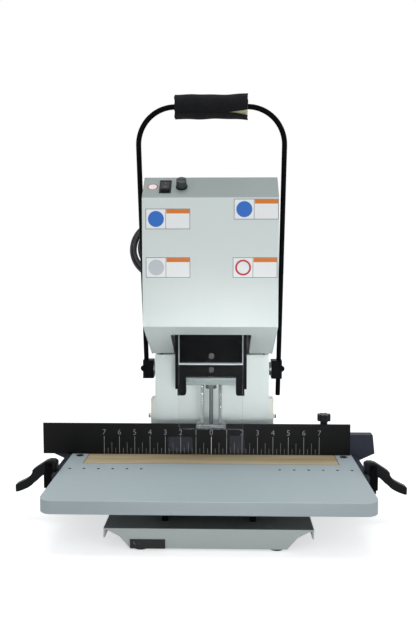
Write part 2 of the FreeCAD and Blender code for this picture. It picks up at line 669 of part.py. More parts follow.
def build_handle():
    """Hoop of round bar in two clamp blocks on a cross shaft, with a padded grip and the pinion."""
    lean = math.radians(size("hoop_lean"))
    pivot = Vector(0, size("pivot_back"), size("pivot_high"))
    along = Vector(0, -math.sin(lean), math.cos(lean))
    left, right = Vector(-size("hoop_half"), 0, 0), Vector(size("hoop_half"), 0, 0)
    reach = along * size("hoop_reach")
    route = [pivot + left - along * 8, pivot + left + reach, pivot + right + reach, pivot + right - along * 50]
    hoop = node(tube("handle_hoop", route, [size("hoop_bend")] * 2, size("hoop_rod")))
    blocks = []
    for side, sign in (("left", -1), ("right", 1)):
        blank = block("hub_blank_" + side, (mirrored(sign, "hub_inner", "hub_outer"), "pivot_back - 12",
                                            "pivot_high - 16"), ("hub_outer - hub_inner", 24, 32))
        blocks.append(cut("hub_block_" + side, blank, hoop))
        bolt = solid("hub_bolt_" + side, Part.makeSphere(5.5, Vector(), Vector(0, 0, 1), 0, 90))
        bolt.Placement = Placement(Vector(sign * size("hub_outer"), size("pivot_back"), size("pivot_high")),
                                   Rotation(Vector(0, 1, 0), 90 * sign))
        blocks.append(bolt)
    node(group("hub_blocks", *blocks))
    shaft = rod("shaft_bar", ("-hub_inner", "pivot_back", "pivot_high"), "shaft_radius", "hub_inner * 2", "x")
    collars = [rod("shaft_collar_" + side, (mirrored(sign, "column_half + 2", "hub_inner"), "pivot_back", "pivot_high"),
                   12, "hub_inner - column_half - 2", "x") for side, sign in (("left", -1), ("right", 1))]
    node(fuse("cross_shaft", shaft, *collars))
    bushes = []
    for side, sign in (("left", -1), ("right", 1)):
        ring = rod("bush_outer_" + side, (mirrored(sign, "column_half - 9", "column_half + 1.5"), "pivot_back",
                                          "pivot_high"), "shaft_radius + 2", 10.5, "x")
        bore = rod("bush_bore_" + side, (mirrored(sign, "column_half - 10", "column_half + 3"), "pivot_back",
                                         "pivot_high"), "shaft_radius + 0.05", 13, "x")
        bushes.append(cut("bush_" + side, ring, bore))
    node(group("shaft_bushes", *bushes))
    pinion = solid("pinion", involute_pinion(size("gear_module"), int(size("gear_teeth")), size("gear_wide"),
                                             size("shaft_radius")))
    pinion.Placement = Placement(pivot + Vector(size("gear_side") - size("gear_wide") / 2, 0, 0), Rotation())
    node(pinion)
    grip_middle = pivot + reach
    half = size("grip_length") / 2
    foam = Part.makeCylinder(size("grip_radius") - 3, half * 2, grip_middle - Vector(half, 0, 0), Vector(1, 0, 0))
    core = Part.makeCylinder(size("hoop_rod"), half * 3, grip_middle - Vector(half * 1.5, 0, 0), Vector(1, 0, 0))
    node(solid("grip_foam", foam.cut(core)))
    sleeve = Part.makeCylinder(size("grip_radius"), half * 2 - 4, grip_middle - Vector(half - 2, 0, 0),
                               Vector(1, 0, 0))
    node(solid("grip_sleeve", sleeve.cut(foam)))


# ---------------------------------------------------------------- drilling carriage
def build_carriage():
    """Everything that the rack pulls down: bracket, quill, motor, belt and guide bushes."""
    node(block("front_plate", ("-plate_half", "plate_front", "plate_low"),
               ("plate_half * 2", 3, "plate_high - plate_low")))
    node(block("front_window", ("-plate_half - 1", "plate_front - 1.5", "plate_low - 1.5"),
               ("plate_half * 2 + 2", 1.5, 56)))
    arms = []
    for side, sign in (("left", -1), ("right", 1)):
        arm = block("arm_blank_" + side, (mirrored(sign, "plate_half - 10.2", "plate_half + 3.5"), "plate_front + 3",
                                          "arm_low"), (13.7, 14, "plate_high - arm_low"))
        square = block("arm_square_" + side,
                       (mirrored(sign, "plate_half - 10.2", "plate_half - 10.2 + arm_round"), "plate_front + 2",
                        "arm_low - 1"), ("arm_round", 16, "arm_round + 1"))
        curve = rod("arm_curve_" + side, ("%d * (plate_half - 10.2 + arm_round)" % sign, "plate_front + 2",
                                          "arm_low + arm_round"), "arm_round", 16, "y")
        arms.append(cut("drop_arm_" + side, arm, cut("arm_waste_" + side, square, curve)))
    bar = block("bracket_bar", ("10.2 - plate_half", "plate_front + 3", 217), ("plate_half * 2 - 20.4", 4, 18))
    node(fuse("bracket_frame", bar, *arms))
    screws = [rod("front_screw", (1, "plate_front - 2.8", 250.4), 4.5, 1.3, "y"),
              rod("bar_screw", (1, "plate_front + 1", 227.7), 4, 2, "y")]
    node(group("bracket_screws", *screws))
    cheeks = [block("cheek_" + side, (mirrored(sign, "plate_half + 3.5", "plate_half + 7"), "plate_front + 3", 196.5),
                    (3.5, 80, "deck_low - 196.5")) for side, sign in (("left", -1), ("right", 1))]
    node(group("carriage_cheeks", *cheeks))
    lower = block("spindle_plate_blank", ("-plate_half - 3.5", "plate_front + 7", "spindle_plate_low"),
                  ("plate_half * 2 + 7", 76, "spindle_plate_thick"))
    arm_room = [block("arm_room_" + side, (mirrored(sign, "plate_half - 10.2", "plate_half + 4"), "plate_front",
                                           "spindle_plate_low - 2"), (14.2, 17, 20))
                for side, sign in (("left", -1), ("right", 1))]
    chuck_room = rod("chuck_room", (0, "drill_back", "spindle_plate_low - 2"), 9.5, 30)
    rod_rooms = [rod("rod_room_" + side, ("%d * rod_side" % sign, "drill_back", "spindle_plate_low - 2"),
                     "rod_radius + 0.05", 30) for side, sign in (("left", -1), ("right", 1))]
    node(cut("spindle_plate", lower, chuck_room, *arm_room, *rod_rooms))
    quill = rod("quill_outer", (0, "drill_back", "spindle_plate_low + spindle_plate_thick"), "quill_radius",
                "deck_low - spindle_plate_low - spindle_plate_thick")
    quill_bore = rod("quill_bore", (0, "drill_back", "spindle_plate_low"), 9.5, 300)
    node(cut("quill_tube", quill, quill_bore))
    bearings = []
    for name, z in (("low", "spindle_plate_low + spindle_plate_thick + 10"), ("high", "deck_low - 14")):
        race = rod("bearing_race_" + name, (0, "drill_back", z), 9.5, 8)
        bore = rod("bearing_bore_" + name, (0, "drill_back", z), 5.05, 8)
        bearings.append(cut("bearing_" + name, race, bore))
    node(group("spindle_bearings", *bearings))
    deck = block("deck_blank", ("-deck_half", "drill_back - 20", "deck_low"), ("deck_half * 2", 163, "deck_thick"))
    deck_holes = [rod("deck_quill_hole", (0, "drill_back", "deck_low - 5"), 9.5, 20),
                  rod("deck_motor_hole", (0, "motor_back", "deck_low - 5"), 7, 20)]
    bushes = []
    for side, sign in (("left", -1), ("right", 1)):
        spot = "%d * guide_side" % sign
        deck_holes.append(rod("deck_guide_hole_" + side, (spot, "guide_back", "deck_low - 5"), "guide_radius + 0.5", 20))
        ring = rod("guide_ring_" + side, (spot, "guide_back", "deck_low - bush_long"), "guide_radius + 4", "bush_long")
        bore = rod("guide_bore_" + side, (spot, "guide_back", "deck_low - bush_long - 1"), "guide_radius + 0.05",
                   "bush_long + 2")
        bushes.append(cut("guide_bush_" + side, ring, bore))
    node(cut("carriage_deck", deck, *deck_holes))
    node(group("guide_bushes", *bushes))
    motor = rod("motor_can", (0, "motor_back", "deck_low - 106"), "motor_radius", 106)
    cooling = [block("motor_slot_%d" % k, (-60, "motor_back + 12 * %d - 26" % k, "deck_low - 100"), (120, 4, 14))
               for k in range(5)]
    shaft_room = rod("motor_shaft_room", (0, "motor_back", "deck_low - 20"), 5.05, 22)
    node(cut("motor_body", motor, shaft_room, *cooling))
    module = size("gear_module")
    rack_z = size("pivot_high")
    rack = rack_bar(module, (-1, 6), 4.6, size("gear_wide"), size("deck_low") - rack_z)
    rack = solid("drive_rack", rack)
    rack.Placement = Placement(Vector(size("gear_side") - size("gear_wide") / 2,
                                      size("pivot_back") - module * size("gear_teeth") / 2, rack_z), Rotation())
    node(rack)
    node(solid("drive_belt", belt_loop(20.2, 14.2, 1.8)))
    spring_z = size("deck_low") + size("deck_thick")
    node(coil_spring("return_spring", Vector(-size("spring_side"), size("guide_back"), spring_z + 1),
                     size("head_top") - 35 - spring_z - 2, 7, 1, 12))


def belt_loop(radius_spindle, radius_motor, thick):
    """Flat belt round the two pulleys, as its outer outline less its inner one."""
    start = Vector(0, size("drill_back"), size("pulley_low") + 1)
    end = Vector(0, size("motor_back"), size("pulley_low") + 1)
    span = (end - start).Length

    def outline(extra):
        one, two = radius_spindle + extra, radius_motor + extra
        lean = math.asin((one - two) / span)
        face = Part.makeCylinder(one, 10, start).fuse(Part.makeCylinder(two, 10, end))
        corners = [start + Vector(one * math.cos(lean), one * math.sin(lean), 0),
                   end + Vector(two * math.cos(lean), two * math.sin(lean), 0),
                   end + Vector(-two * math.cos(lean), two * math.sin(lean), 0),
                   start + Vector(-one * math.cos(lean), one * math.sin(lean), 0)]
        web = Part.Face(Part.makePolygon(corners + corners[:1])).extrude(Vector(0, 0, 10))
        return face.fuse(web)

    return outline(thick).cut(outline(0))


def build_spindle():
    """The parts that spin: spindle with its pulley, chuck, hollow bit, and the motor's shaft."""
    shaft = rod("spindle_bar", (0, "drill_back", "chuck_low + 19"), 5, "pulley_low - chuck_low - 5")
    pulley = rod("spindle_wheel", (0, "drill_back", "pulley_low"), 20, 12)
    node(fuse("spindle_shaft", shaft, pulley))
    body = rod("chuck_body", (0, "drill_back", "chuck_low"), 9, 9)
    neck = cone("chuck_neck", (0, "drill_back", "chuck_low + 9"), 9, 5, 10)
    node(fuse("drill_chuck", body, neck))
    shank = rod("bit_shank", (0, "drill_back", "drill_tip + 4"), "drill_radius", "chuck_low - drill_tip - 4")
    edge = cone("bit_edge", (0, "drill_back", "drill_tip"), "drill_radius - 0.6", "drill_radius", 4)
    bore = rod("bit_bore", (0, "drill_back", "drill_tip - 1"), "drill_radius - 1", "chuck_low - 15 - drill_tip")
    node(cut("drill_bit", fuse("bit_blank", shank, edge), bore))
    motor_bar = rod("motor_bar", (0, "motor_back", "deck_low - 18"), 5, "pulley_low - deck_low + 31")
    motor_wheel = rod("motor_wheel", (0, "motor_back", "pulley_low"), 14, 12)
    node(fuse("motor_shaft", motor_bar, motor_wheel))


def build_foot():
    """Clear pressure foot on two sprung rods, with the clear guard in front of the bit."""
    blank = block("foot_blank", (-24, "drill_back - 14", "foot_low"), (48, 28, "foot_thick"))
    hole = rod("foot_hole", (0, "drill_back", "foot_low - 1"), 5, "foot_thick + 2")
    node(cut("foot_block", blank, hole))
    rods = [rod("foot_rod_" + side, ("%d * rod_side" % sign, "drill_back", "foot_low + foot_thick"), "rod_radius",
                104) for side, sign in (("left", -1), ("right", 1))]
    node(group("foot_rods", *rods))
    springs = []
    for side, sign in (("left", -1), ("right", 1)):
        base = Vector(sign * size("rod_side"), size("drill_back"), size("foot_low") + size("foot_thick") + 0.5)
        height = size("spindle_plate_low") - size("foot_low") - size("foot_thick") - 1
        springs.append(coil_spring("foot_spring_" + side, base, height, 3.1, 0.5, 18))
    node(group("foot_springs", *springs))
    guard = block("guard_sheet", ("-plate_half - 1", "plate_front - 4.6", "foot_low + 1"),
                   ("plate_half * 2 + 2", 1.5, 108))
    lip = block("guard_lip", (-24, "plate_front - 3.1", "foot_low + 1"), (48, "drill_back - 10.9 - plate_front", 1.5))
    node(fuse("guard_screen", guard, lip))


# ---------------------------------------------------------------- mains lead, hung up at the back
def build_lead():
    """Strain relief, lead, loose coil on its hook, and the plug that hangs from it."""
    relief = [rod("relief_flange", (-20, "rear_plane", 340), 9, 4, "y"),
              cone("relief_taper", (-20, "rear_plane + 4", 340), 7.5, 5, 24, "y")]
    node(fuse("strain_relief", *relief))
    middle = Vector(-size("coil_side"), size("coil_back"), size("coil_high"))
    radius = size("lead_radius")
    ring = size("coil_ring")

    def on_ring(degrees):
        angle = math.radians(degrees)
        return middle + Vector(ring * math.cos(angle), 0, ring * math.sin(angle))

    route = [Vector(-20, 218, 340), Vector(-20, 264, 336), Vector(-36, 286, 292), Vector(-76, 266, 262),
             Vector(-112, 238, 290), Vector(-122, 218, 334), on_ring(235)]
    node(tube("cord_lead", route, fair_radii(route), radius))
    node(solid("cord_coil", Part.makeTorus(ring, size("coil_tube"), middle, Vector(0, 1, 0))))
    tail = [on_ring(290) + Vector(0, 0, -4), Vector(-79, 209, 346), Vector(-77, 207, 320)]
    node(tube("cord_tail", tail, fair_radii(tail), radius))
    body = cone("plug_body", (-77, 207, 272), 12, 7, 48)
    blades = [block("plug_blade_%d" % k, (x, 204, 255), (1.5, 6.5, 17)) for k, x in enumerate((-84, -71.5))]
    node(fuse("power_plug", body, *blades))
    reach = size("hook_reach") - 4
    arm = Part.makeCylinder(4, reach, Vector(middle.x, size("rear_plane"), middle.z + ring - size("coil_tube") - 4),
                            Vector(0, 1, 0))
    up = Part.makeCylinder(4, 16, Vector(middle.x, size("rear_plane") + reach,
                                         middle.z + ring - size("coil_tube") - 8))
    foot = Part.makeBox(16, 3, 34, Vector(middle.x - 8, size("rear_plane"), middle.z + ring - size("coil_tube") - 12))
    node(solid("cord_hook", arm.fuse([up, foot])))


def fair_radii(route):
    """For each inner point, 0.45 of the shorter run divided by the tangent of half the turn."""
    radii = []
    for k in range(1, len(route) - 1):
        before, after = route[k] - route[k - 1], route[k + 1] - route[k]
        turn = before.getAngle(after)
        radii.append(0.45 * min(before.Length, after.Length) / math.tan(turn / 2))
    print("radii", [round(radius) for radius in radii])
    return radii


def check_and_write():
    """Stop if anything failed, then write one STEP file for each sub-part."""
    doc.recompute()
    for item in doc.Objects:
        assert not {"Invalid", "Error"} & set(item.State), item.Label + " failed"
    os.makedirs("parts", exist_ok=True)
    forward = Vector(0, (size("table_front") - size("rear_plane") - size("hook_reach")) / 2, 0)
    for item in NODES:
        shape = item.Shape.translated(forward)
        assert not shape.isNull() and shape.isValid() and shape.Solids, item.Label + " is not a valid solid"
        shape.exportStep("parts/%s.step" % item.Label)
        print("%-18s %d solids %9.0f mm3" % (item.Label, len(shape.Solids), shape.Volume))
    box = Part.makeCompound([item.Shape for item in NODES]).translated(forward).BoundBox
    print("nodes %d, box %s" % (len(NODES), box))


build_base()
table_screws = build_table()
build_gauge()
build_chassis()
build_covers(table_screws)
build_controls()
build_handle()
build_carriage()
build_spindle()
build_foot()
build_lead()
check_and_write()
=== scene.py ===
# %% [markdown]
# A benchtop paper drill
#
# A single hollow bit is pulled down through a stack of paper by a hoop handle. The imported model
# already holds every rigid part at its real size, so this lesson adds what a model of plain solids
# leaves out: paint, laminate, wood and rubber finishes, the soft grip, the loose mains lead, the
# printed inch scale, the screws' heads and the curved clamp levers.

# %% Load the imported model
from math import atan2, cos, exp, pi, radians, sin

import bmesh
import bpy
from mathutils import Matrix, Vector


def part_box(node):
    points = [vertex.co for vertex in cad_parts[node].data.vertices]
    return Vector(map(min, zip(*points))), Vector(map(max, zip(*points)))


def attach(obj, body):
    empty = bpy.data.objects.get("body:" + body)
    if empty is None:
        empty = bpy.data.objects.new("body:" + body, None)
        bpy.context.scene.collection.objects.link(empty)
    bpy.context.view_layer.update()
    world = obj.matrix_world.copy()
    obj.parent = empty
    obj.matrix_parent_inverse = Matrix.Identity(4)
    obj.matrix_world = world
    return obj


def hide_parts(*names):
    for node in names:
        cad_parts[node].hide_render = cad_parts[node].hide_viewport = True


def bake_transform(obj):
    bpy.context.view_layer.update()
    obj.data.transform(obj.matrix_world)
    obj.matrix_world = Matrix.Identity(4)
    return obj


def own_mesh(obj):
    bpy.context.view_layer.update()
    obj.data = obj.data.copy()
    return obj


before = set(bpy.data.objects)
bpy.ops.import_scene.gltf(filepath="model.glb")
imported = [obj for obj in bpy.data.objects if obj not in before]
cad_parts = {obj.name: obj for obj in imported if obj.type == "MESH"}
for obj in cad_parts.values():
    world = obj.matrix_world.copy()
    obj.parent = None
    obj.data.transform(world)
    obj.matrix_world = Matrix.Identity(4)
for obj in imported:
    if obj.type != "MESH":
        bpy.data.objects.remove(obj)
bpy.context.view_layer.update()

MM = 0.001


def corner(node, side):
    """The low (0) or high (1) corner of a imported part, as a Vector."""
    return Vector(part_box(node)[side])


def shown(name, data):
    """A new object in the scene, at the origin."""
    thing = bpy.data.objects.new(name, data)
    bpy.context.scene.collection.objects.link(thing)
    return thing


def corners(node):
    """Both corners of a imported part."""
    return corner(node, 0), corner(node, 1)


fence_low = corner("fence_plate", 0)
table_high = corner("table_board", 1)
head_low = corner("head_cover", 0)
print("table top at", round(table_high.z, 4), "fence face at", round(fence_low.y, 4))

# %% [markdown]
# Camera first
#
# The machine is seen from the front, a little from the right and from above its table. A 42 mm
# lens at about 1.2 m gives the strong taper of the table towards the back gauge.

# %% Camera
camera_data = bpy.data.cameras.new("camera")
camera_data.lens = 42.0
camera_data.sensor_width = 36.0
camera_data.clip_end = 50.0
camera = shown("camera", camera_data)
camera.location = (0.024, -1.1634, 0.4148)
LOOKS_DOWN, LOOKS_LEFT = 4.72, 1.43
camera.rotation_euler = (radians(90 - LOOKS_DOWN), 0, radians(LOOKS_LEFT))
bpy.context.scene.camera = camera
bpy.context.scene.view_settings.view_transform = "Standard"
print("camera", tuple(round(v, 3) for v in camera.location))

# %% [markdown]
# Making and finishing meshes
#
# Most added pieces are meshes written vertex by vertex in the model's own frame, so their objects
# stay at the origin. A few helpers do the routine work: the faces between rings of points, the
# closed ends of a tube, and thin boxes joined into one mesh.

# %% Mesh helpers
def new_piece(name, points, faces, material, body, smooth=True):
    """A mesh object at the origin that rides on a body of the model, if one is given."""
    mesh = bpy.data.meshes.new(name)
    mesh.from_pydata([tuple(p) for p in points], [], [tuple(f) for f in faces])
    builder = bmesh.new()
    builder.from_mesh(mesh)
    bmesh.ops.remove_doubles(builder, verts=builder.verts, dist=1e-6)
    bmesh.ops.recalc_face_normals(builder, faces=builder.faces)
    builder.to_mesh(mesh)
    builder.free()
    mesh.polygons.foreach_set("use_smooth", [smooth] * len(mesh.polygons))
    mesh.materials.append(material)
    piece = shown(name, mesh)
    if body:
        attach(piece, body)
    return piece


def frozen(holder):
    """The mesh that an object's curve or modifiers make; the object itself goes away."""
    bpy.context.view_layer.update()
    seen = holder.evaluated_get(bpy.context.evaluated_depsgraph_get())
    mesh = bpy.data.meshes.new_from_object(seen)
    bpy.data.objects.remove(holder)
    return mesh


def angles(sides):
    """Equal steps round a full turn."""
    return [2 * pi * j / sides for j in range(sides)]


def skin(rings, sides, first=0, closed=False):
    """Faces between rings of points; a closed skin also joins the last ring to the first."""
    faces = []
    for k in range(rings if closed else rings - 1):
        here, there = first + k * sides, first + (k + 1) % rings * sides
        for j in range(sides):
            n = (j + 1) % sides
            faces.append((here + j, here + n, there + n, there + j))
    return faces


def ends(first, last, sides):
    """The faces that close the first and the last ring of a tube."""
    return [tuple(range(first, first + sides))[::-1], tuple(range(last - sides, last))]


def boxes_mesh(*boxes):
    """Points and faces of boxes, each given by its low and its high corner."""
    points, faces = [], []
    sides = (0, 2, 3, 1), (4, 5, 7, 6), (0, 1, 5, 4), (2, 6, 7, 3), (0, 4, 6, 2), (1, 3, 7, 5)
    for (x0, y0, z0), (x1, y1, z1) in boxes:
        faces += [tuple(v + len(points) for v in side) for side in sides]
        points += [(x, y, z) for z in (z0, z1) for y in (y0, y1) for x in (x0, x1)]
    return points, faces


def linear(red, green, blue):
    """A colour as seen on a screen, 0 to 255, turned into the linear values that shaders use."""
    shares = [c / 255 for c in (red, green, blue)]
    values = [c / 12.92 if c <= 0.04045 else ((c + 0.055) / 1.055) ** 2.4 for c in shares]
    return (*values, 1.0)


# %% [markdown]
# Shared finishes
#
# Real surfaces are never one flat colour. Every finish here is built from three effects that are
# made once as shader node groups: "surface variation" (slow colour drift, fine grain and dust),
# "streaks" (brushing marks or wood grain along one direction) and "weave" (crossed threads).

# %% Shader node groups
def start_group(name, kind, inputs, outputs):
    """A node tree with its named sockets, and its input and output nodes."""
    group = bpy.data.node_groups.new(name, kind)
    for side, sockets in (("INPUT", inputs), ("OUTPUT", outputs)):
        for socket, holds in sockets.items():
            group.interface.new_socket(socket, in_out=side, socket_type=holds)
    return group, group.nodes.new("NodeGroupInput"), group.nodes.new("NodeGroupOutput")


def feed(tree, socket, value):
    """Link a socket to another one, or set it to a value."""
    if hasattr(value, "is_output"):
        tree.links.new(value, socket)
    else:
        socket.default_value = value


def mix_colour(tree, factor, first, second, blend="MIX"):
    """A colour mix node; each argument is a socket or a value."""
    node = tree.nodes.new("ShaderNodeMix")
    node.data_type = "RGBA"
    node.blend_type = blend
    for k, value in ((0, factor), (6, first), (7, second)):
        feed(tree, node.inputs[k], value)
    return node.outputs[2]


def fill(node, values):
    """Set a node's inputs by name."""
    for name, value in values.items():
        node.inputs[name].default_value = value


def maths(tree, operation, first, second=0.0, third=0.0):
    """A math node; each argument is a socket or a number."""
    node = tree.nodes.new("ShaderNodeMath")
    node.operation = operation
    for socket, value in zip(node.inputs, (first, second, third)):
        feed(tree, socket, value)
    return node.outputs[0]


def noise(tree, vector, scale, detail):
    """Cloudy values from 0 to 1; detail adds finer clouds."""
    node = tree.nodes.new("ShaderNodeTexNoise")
    node.inputs["Detail"].default_value = detail
    feed(tree, node.inputs["Scale"], scale)
    tree.links.new(vector, node.inputs["Vector"])
    return node.outputs["Fac"]


NUMBER, COLOUR = "NodeSocketFloat", "NodeSocketColor"
VECTOR, SHAPE = "NodeSocketVector", "NodeSocketGeometry"


def make_variation_group():
    """A colour that drifts slowly, with grain for the bump and a few specks of dust."""
    group, inward, outward = start_group(
        "surface variation", "ShaderNodeTree",
        {"Colour": COLOUR, "Drift": NUMBER, "Grain Scale": NUMBER, "Roughness": NUMBER,
         "Dust": NUMBER}, {"Colour": COLOUR, "Roughness": NUMBER, "Height": NUMBER})
    place = group.nodes.new("ShaderNodeTexCoord").outputs["Object"]
    slow = noise(group, place, 9.0, 4.0)
    grain = noise(group, place, inward.outputs["Grain Scale"], 2.0)
    spots = noise(group, place, 160.0, 5.0)
    darker = mix_colour(group, 1.0, inward.outputs["Colour"], (0.55, 0.56, 0.55, 1), "MULTIPLY")
    amount = maths(group, "MULTIPLY", slow, inward.outputs["Drift"])
    base = mix_colour(group, amount, inward.outputs["Colour"], darker)
    speck = maths(group, "MULTIPLY", maths(group, "GREATER_THAN", spots, 0.66),
                  inward.outputs["Dust"])
    colour = mix_colour(group, speck, base, (0.55, 0.53, 0.48, 1))
    rough = maths(group, "ADD", inward.outputs["Roughness"], maths(group, "MULTIPLY", slow, 0.12))
    for socket, result in (("Colour", colour), ("Roughness", rough), ("Height", grain)):
        group.links.new(result, outward.inputs[socket])
    return group


def make_streak_group():
    """Fine and wide lines between a light and a dark colour, drawn out along one direction."""
    group, inward, outward = start_group(
        "streaks", "ShaderNodeTree",
        {"Light": COLOUR, "Dark": COLOUR, "Stretch": VECTOR, "Contrast": NUMBER},
        {"Colour": COLOUR, "Height": NUMBER})
    place = group.nodes.new("ShaderNodeTexCoord").outputs["Object"]
    scaled = group.nodes.new("ShaderNodeVectorMath")
    scaled.operation = "MULTIPLY"
    group.links.new(place, scaled.inputs[0])
    group.links.new(inward.outputs["Stretch"], scaled.inputs[1])
    lines = noise(group, scaled.outputs[0], 1.0, 5.0)
    wide = noise(group, scaled.outputs[0], 0.22, 3.0)
    both = maths(group, "ADD", maths(group, "MULTIPLY", lines, 0.5),
                 maths(group, "MULTIPLY", wide, 0.5))
    sharp = maths(group, "MULTIPLY_ADD", both, 2.4, -0.7)
    held = maths(group, "MINIMUM", maths(group, "MAXIMUM", sharp, 0.0), 1.0)
    amount = maths(group, "MULTIPLY", held, inward.outputs["Contrast"])
    colour = mix_colour(group, amount, inward.outputs["Light"], inward.outputs["Dark"])
    group.links.new(colour, outward.inputs["Colour"])
    group.links.new(lines, outward.inputs["Height"])
    return group


def make_weave_group():
    """Threads that cross over and under each other, with a little pale lint."""
    group, inward, outward = start_group(
        "weave", "ShaderNodeTree", {"Colour": COLOUR, "Threads": NUMBER},
        {"Colour": COLOUR, "Height": NUMBER})
    place = group.nodes.new("ShaderNodeTexCoord").outputs["UV"]
    parts = group.nodes.new("ShaderNodeSeparateXYZ")
    group.links.new(place, parts.inputs[0])
    warp, weft = (maths(group, "SINE", maths(group, "MULTIPLY", parts.outputs[side],
                                             inward.outputs["Threads"])) for side in "XY")
    height = maths(group, "MULTIPLY_ADD", maths(group, "MULTIPLY", warp, weft), 0.5, 0.5)
    lint = noise(group, group.nodes.new("ShaderNodeTexCoord").outputs["Object"], 420.0, 4.0)
    pale = maths(group, "MULTIPLY", maths(group, "GREATER_THAN", lint, 0.62), 0.25)
    thread = mix_colour(group, height, inward.outputs["Colour"], (0.012, 0.012, 0.014, 1))
    colour = mix_colour(group, pale, thread, (0.04, 0.038, 0.036, 1))
    group.links.new(colour, outward.inputs["Colour"])
    group.links.new(height, outward.inputs["Height"])
    return group


VARIATION, STREAKS, WEAVE = make_variation_group(), make_streak_group(), make_weave_group()
print("node groups", [g.name for g in (VARIATION, STREAKS, WEAVE)])

# %% [markdown]
# Paints, plastics and metals
#
# Three functions turn the shared groups into whole finishes: painted or moulded, brushed or sawn,
# and see-through. Colours are given as seen on a screen, and each finish has its own grain size,
# gloss and bump depth.

# %% Materials
def blank_material(name):
    material = bpy.data.materials.new(name)
    material.use_nodes = True
    return material, material.node_tree, material.node_tree.nodes["Principled BSDF"]


def add_bump(tree, shader, height, strength, distance):
    bump = tree.nodes.new("ShaderNodeBump")
    fill(bump, {"Strength": strength, "Distance": distance})
    tree.links.new(height, bump.inputs["Height"])
    tree.links.new(bump.outputs["Normal"], shader.inputs["Normal"])


def dressed(name, group, values):
    """A new material whose shader takes its colour from a shared group with the given values."""
    material, tree, shader = blank_material(name)
    finish = tree.nodes.new("ShaderNodeGroup")
    finish.node_tree = group
    fill(finish, values)
    tree.links.new(finish.outputs["Colour"], shader.inputs["Base Color"])
    return material, tree, shader, finish


def varied(name, colour, drift, grain, roughness, dust):
    """A new material with the surface variation in its colour and in its roughness."""
    material, tree, shader, finish = dressed(name, VARIATION, {
        "Colour": linear(*colour), "Drift": drift, "Grain Scale": grain,
        "Roughness": roughness, "Dust": dust})
    tree.links.new(finish.outputs["Roughness"], shader.inputs["Roughness"])
    return material, tree, shader, finish


def coated(name, colour, roughness, drift, grain, dust, bump=0.12, gloss=0.5):
    """Paint, moulded plastic or rubber: drifting colour, fine grain and a little dust."""
    material, tree, shader, finish = varied(name, colour, drift, grain, roughness, dust)
    shader.inputs["Specular IOR Level"].default_value = gloss
    add_bump(tree, shader, finish.outputs["Height"], bump, 0.4 * MM)
    return material


def streaked(name, light, dark, stretch, contrast, roughness, metallic=0.0, bump=0.1):
    """Brushed metal or sawn wood: streaks along one direction."""
    material, tree, shader, grain = dressed(name, STREAKS, {
        "Light": linear(*light), "Dark": linear(*dark), "Stretch": stretch, "Contrast": contrast})
    fill(shader, {"Roughness": roughness, "Metallic": metallic})
    add_bump(tree, shader, grain.outputs["Height"], bump, 0.3 * MM)
    return material


def clear_sheet(name, colour, alpha, roughness=0.06):
    """Thin acrylic: see-through, a little cloudy; a sheet counts twice, once for each face."""
    material, tree, shader, finish = varied(name, colour, 0.1, 60.0, roughness, 0.0)
    fill(shader, {"Alpha": alpha, "IOR": 1.49})
    material.surface_render_method = "BLENDED"
    return material


def two_tone(material, colour, other, level, measure="Object"):
    """A second colour above a level, of height ("Object") or of how far a face looks up ("Normal");
    it gives the head's second coat and painted shade.
    """
    tree = material.node_tree
    finish = next(n for n in tree.nodes if n.type == "GROUP")
    parts = tree.nodes.new("ShaderNodeSeparateXYZ")
    tree.links.new(tree.nodes.new("ShaderNodeTexCoord").outputs[measure], parts.inputs[0])
    above = maths(tree, "GREATER_THAN", parts.outputs["Z"], level)
    mixed = mix_colour(tree, above, linear(*colour), linear(*other))
    tree.links.new(mixed, finish.inputs["Colour"])


HEAD_WHITE = (214, 223, 220)
head_paint = coated("head powder coat", HEAD_WHITE, 0.38, 0.10, 1400, 0.01)
SLOPE_SHOWS_ABOVE = 0.3
two_tone(head_paint, HEAD_WHITE, (152, 163, 161), SLOPE_SHOWS_ABOVE, "Normal")
# The column, throat panel and rear cover take the head's white painted lighter: painted light that
# makes up for the shade under the head.
column_paint_lightened = coated("column powder coat painted lighter", (218, 228, 225), 0.4, 0.08, 1400, 0.01)
bracket_paint = coated("bracket powder coat", (226, 229, 220), 0.42, 0.08, 1400, 0.02)
TRAY_PAINT = (178, 187, 184)
tray_paint = coated("tray powder coat", TRAY_PAINT, 0.42, 0.16, 1200, 0.10)
# The tray's top face, under the table, is painted darker grey: painted shade for the table's
# shadow.
two_tone(tray_paint, TRAY_PAINT, (104, 108, 105), corner("base_tray", 1).z - 0.4 * MM)
TABLE_GREY = (182, 196, 200)
laminate = coated("table laminate", TABLE_GREY, 0.5, 0.14, 2200, 0.01, 0.06)
# The board's sides, below its top, are painted darker: painted shade for light that falls from
# above.
two_tone(laminate, (156, 168, 172), TABLE_GREY, table_high.z - 0.8 * MM)
black_coat = coated("black enamel", (9, 9, 11), 0.36, 0.3, 900, 0.004, 0.08, 0.03)
fence_coat = coated("black back gauge coat", (14, 14, 15), 0.32, 0.3, 700, 0.0, 0.05, 0.11)
lever_black = coated("black lever plastic", (16, 17, 18), 0.3, 0.25, 500, 0.01, 0.06, 0.1)
rail_coat = coated("violet-grey enamel", (54, 56, 68), 0.4, 0.3, 900, 0.01, 0.08, 0.1)
moulded_black = coated("moulded black plastic", (15, 16, 18), 0.36, 0.25, 1500, 0.01, 0.08, 0.25)
cap_plastic = coated("dark grey cap plastic", (52, 60, 62), 0.4, 0.25, 1200, 0.08)
rubber = coated("rubber", (20, 20, 20), 0.7, 0.3, 600, 0.15)
cord_sheath = coated("cord sheath", (24, 25, 30), 0.45, 0.3, 700, 0.08)
motor_coat = coated("motor enamel", (52, 56, 60), 0.4, 0.2, 900, 0.1)
paper_label = coated("blank label paper", (238, 240, 240), 0.55, 0.05, 1800, 0.02, 0.05)
